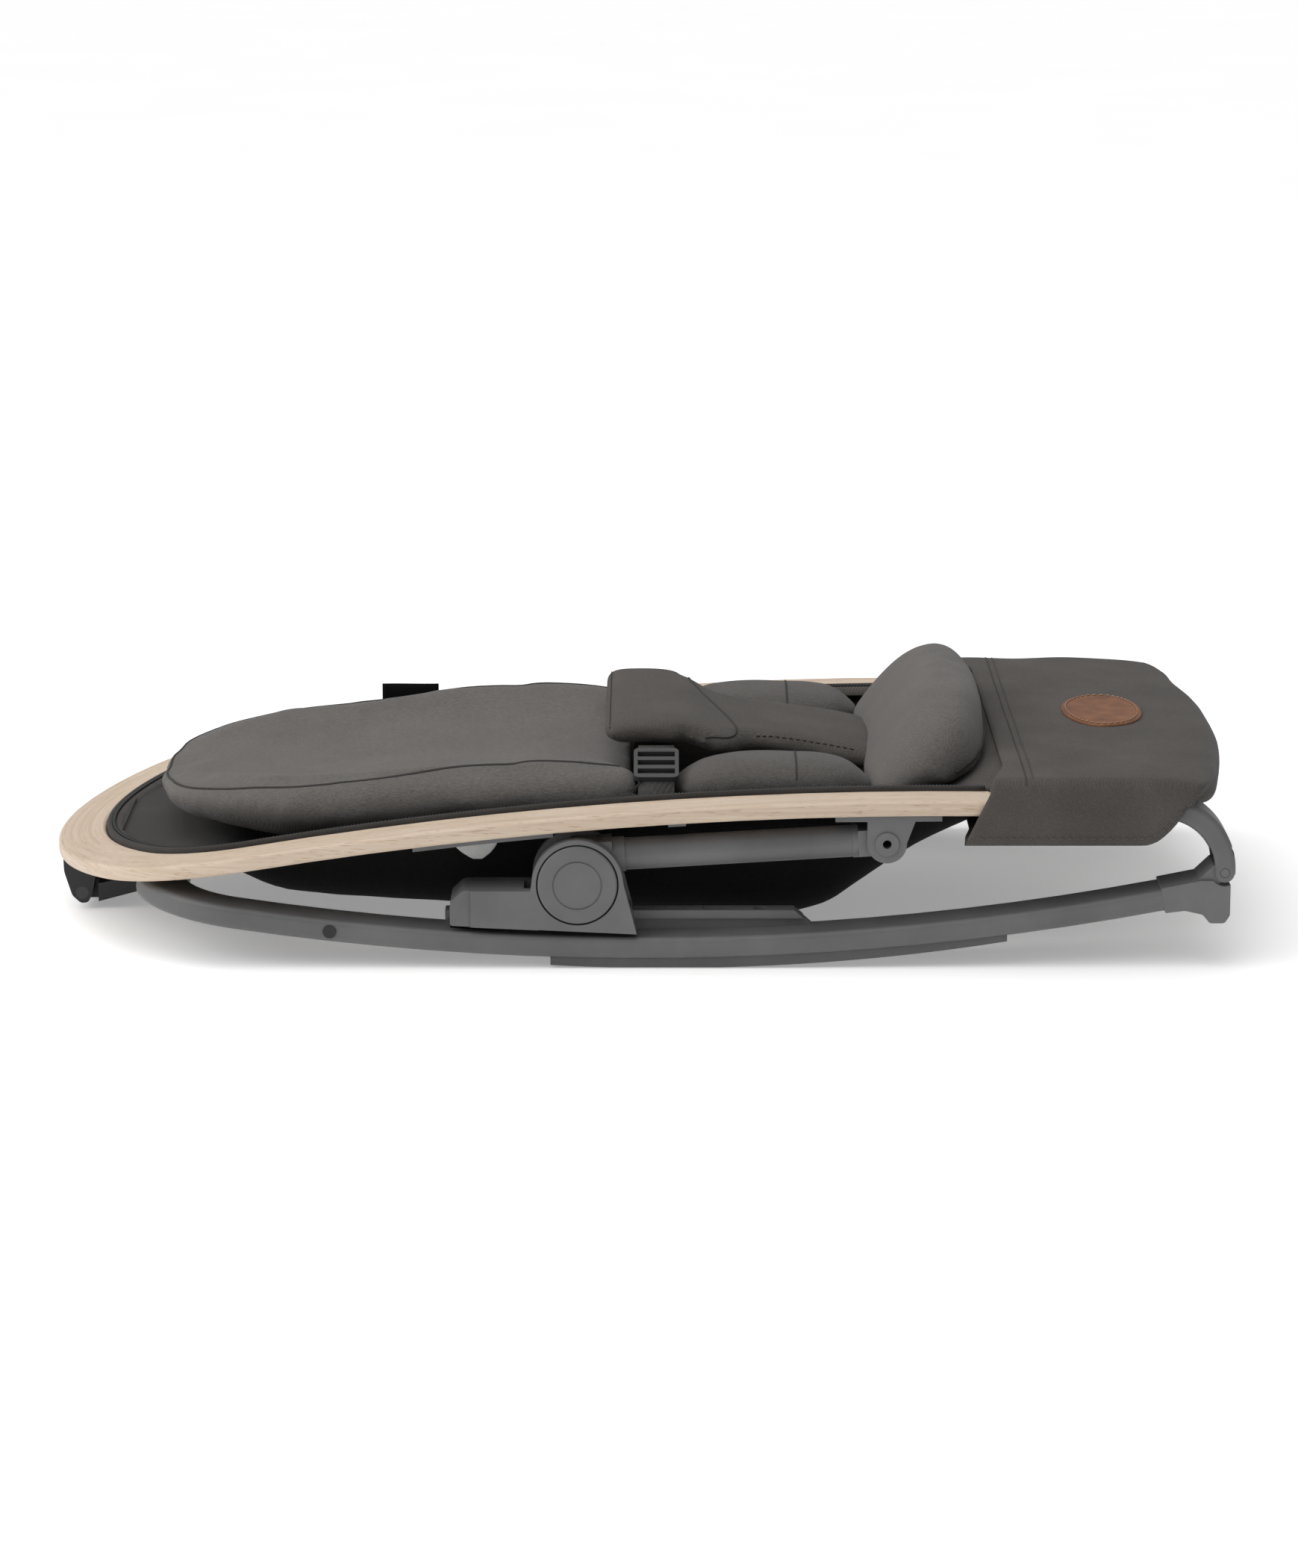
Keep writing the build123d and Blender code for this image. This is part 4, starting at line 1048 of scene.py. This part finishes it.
# Rings of the patch: share of its outline and height above the cover
PATCH_RINGS = ((1.0, -0.6), (1.0, 0.7), (0.985, 1.3), (0.9, 1.55), (0.6, 1.6), (0.25, 1.65))
rings = []
for share, up in PATCH_RINGS:
    ring = []
    for a in np.linspace(0, 2 * math.pi, 73)[:-1]:
        x, y = PATCH_X + PATCH_HALF[0] * share * math.cos(a), PATCH_HALF[1] * share * math.sin(a)
        ring.append((x, y, cover_top(x, y) + up))
    rings.append(ring)
patch = rings_piece("leather_oval", rings, material=LEATHER)
on_seat(patch, "leather_patch")
oval = []
for a in np.linspace(0, 2 * math.pi, 120):
    oval.append((PATCH_X + PATCH_STITCH[0] * math.cos(a), PATCH_STITCH[1] * math.sin(a), 136))
sewn("patch_stitches", patch, [oval], THREAD_TAN, length=3.4, gap=1.5, radius=0.5)

# Loop tab: a black tab folded once, blank, standing up at the rim
LOOP_X0 = -190
LOOP_X1 = -148
LOOP_LOW = 96
LOOP_SECTION = [(157.6, LOOP_LOW), (157.6, 118), (157.8, 120.2), (158.4, 121), (159, 120.2), (159.2, 118)]
LOOP_SECTION += [(159.2, LOOP_LOW), (158.5, LOOP_LOW), (158.4, 118), (158.2, LOOP_LOW)]
rings = []
for x in np.linspace(LOOP_X0, LOOP_X1, 15):
    sway = 0.4 * math.sin((x - LOOP_X0) / (LOOP_X1 - LOOP_X0) * math.pi * 2)
    rings.append([(x, y + sway * (z - LOOP_LOW) / 25, z) for y, z in LOOP_SECTION])
tab = rings_piece("loop_tab_cloth", rings, material=SLING)
on_seat(tab, "loop_tab")

# Care tab: a blank white tab hanging under the near rail, narrower at its lower end
CARE_X0 = -128
CARE_X1 = -92
CARE_TOP = 88
CARE_DROP = 20
CARE_Y = -170.9
CARE_HALF_T = 0.45
rings = []
for s in np.linspace(0, 1, 13):
    z = CARE_TOP - CARE_DROP * s
    left, right = CARE_X0 + 5 * s + 12 * s**3, CARE_X1 - 4 * s - 9 * s**3
    out = CARE_Y - 1.6 * math.sin(s * 2.4)
    row = []
    for x in np.linspace(left, right, 12):
        row.append((x, out - 0.5 * math.sin((x - CARE_X0) / (CARE_X1 - CARE_X0) * math.pi) * s))
    front = [(x, y - CARE_HALF_T, z) for x, y in row]
    rings.append(front + [(x, y + CARE_HALF_T, z) for x, y in reversed(row)])
tab = rings_piece("care_tab_cloth", rings, material=WHITE)
on_seat(tab, "care_tab")


# Camera, light and floor, in metres
def link(ob, place=(0, 0, 0)):
    bpy.context.scene.collection.objects.link(ob)
    ob.location = place
    return ob


def turn_to(ob, aim):
    ob.rotation_euler = (Vector(aim) - ob.location).to_track_quat("-Z", "Y").to_euler()


cam_data = bpy.data.cameras.new("camera")
cam_data.lens = 112.15
cam_data.sensor_width = 36.0
cam = link(bpy.data.objects.new("camera", cam_data), (0.009, -3.4103, 0.8678))
turn_to(cam, (0.009, 0, 0.0805))
bpy.context.scene.camera = cam

# Lamps: name, place, aim, size, power
LAMPS = (
    ("top_light", (-0.5, -0.1, 2.4), (0, 0, 0.08), (2.4, 2.0), 14),
    ("left_light", (-2.4, -1.2, 1.5), (0, 0, 0.08), (1.4, 1.2), 14),
    ("back_light", (1.2, 2.4, 1.6), (0, 0, 0.1), (2.0, 1.2), 7),
)
for name, place, aim, size, power in LAMPS:
    data = bpy.data.lights.new(name, "AREA")
    data.shape = "RECTANGLE"
    data.size, data.size_y = size
    data.energy = power
    turn_to(link(bpy.data.objects.new(name, data), place), aim)
sky = bpy.data.lights.new("ceiling_light", "SUN")
sky.energy = 1.7
sky.angle = math.radians(80)
sky_ob = link(bpy.data.objects.new("ceiling_light", sky))
sky_ob.rotation_euler = (math.radians(8), math.radians(-28), 0)
world = bpy.data.worlds.new("studio")
world.use_nodes = True
world.node_tree.nodes["Background"].inputs["Color"].default_value = (1, 1, 1, 1)
world.node_tree.nodes["Background"].inputs["Strength"].default_value = 0.33
bpy.context.scene.world = world
bpy.context.scene.view_settings.view_transform = "Standard"

FLOOR_HALF = 120000
FLOOR_Z = -0.6
floor_mat, floor_tree, floor_bsdf = shader("pale_floor", (0.9, 0.9, 0.9), 0.7, specular=0.2)
floor_noise = noise(floor_tree, coords(floor_tree), 3.0)
floor_tone = ramp(floor_tree, floor_noise, [(0.2, (0.89, 0.89, 0.89)), (0.8, (0.92, 0.92, 0.92))])
floor_tree.links.new(floor_tone, floor_bsdf.inputs["Base Color"])
floor_bsdf.inputs["Emission Color"].default_value = (1, 1, 1, 1)
floor_bsdf.inputs["Emission Strength"].default_value = 0.29
corners = [(a * FLOOR_HALF, b * FLOOR_HALF, FLOOR_Z) for a, b in ((-1, -1), (1, -1), (1, 1), (-1, 1))]
floor = mesh_piece("floor", corners, [(0, 1, 2, 3)], floor_mat)
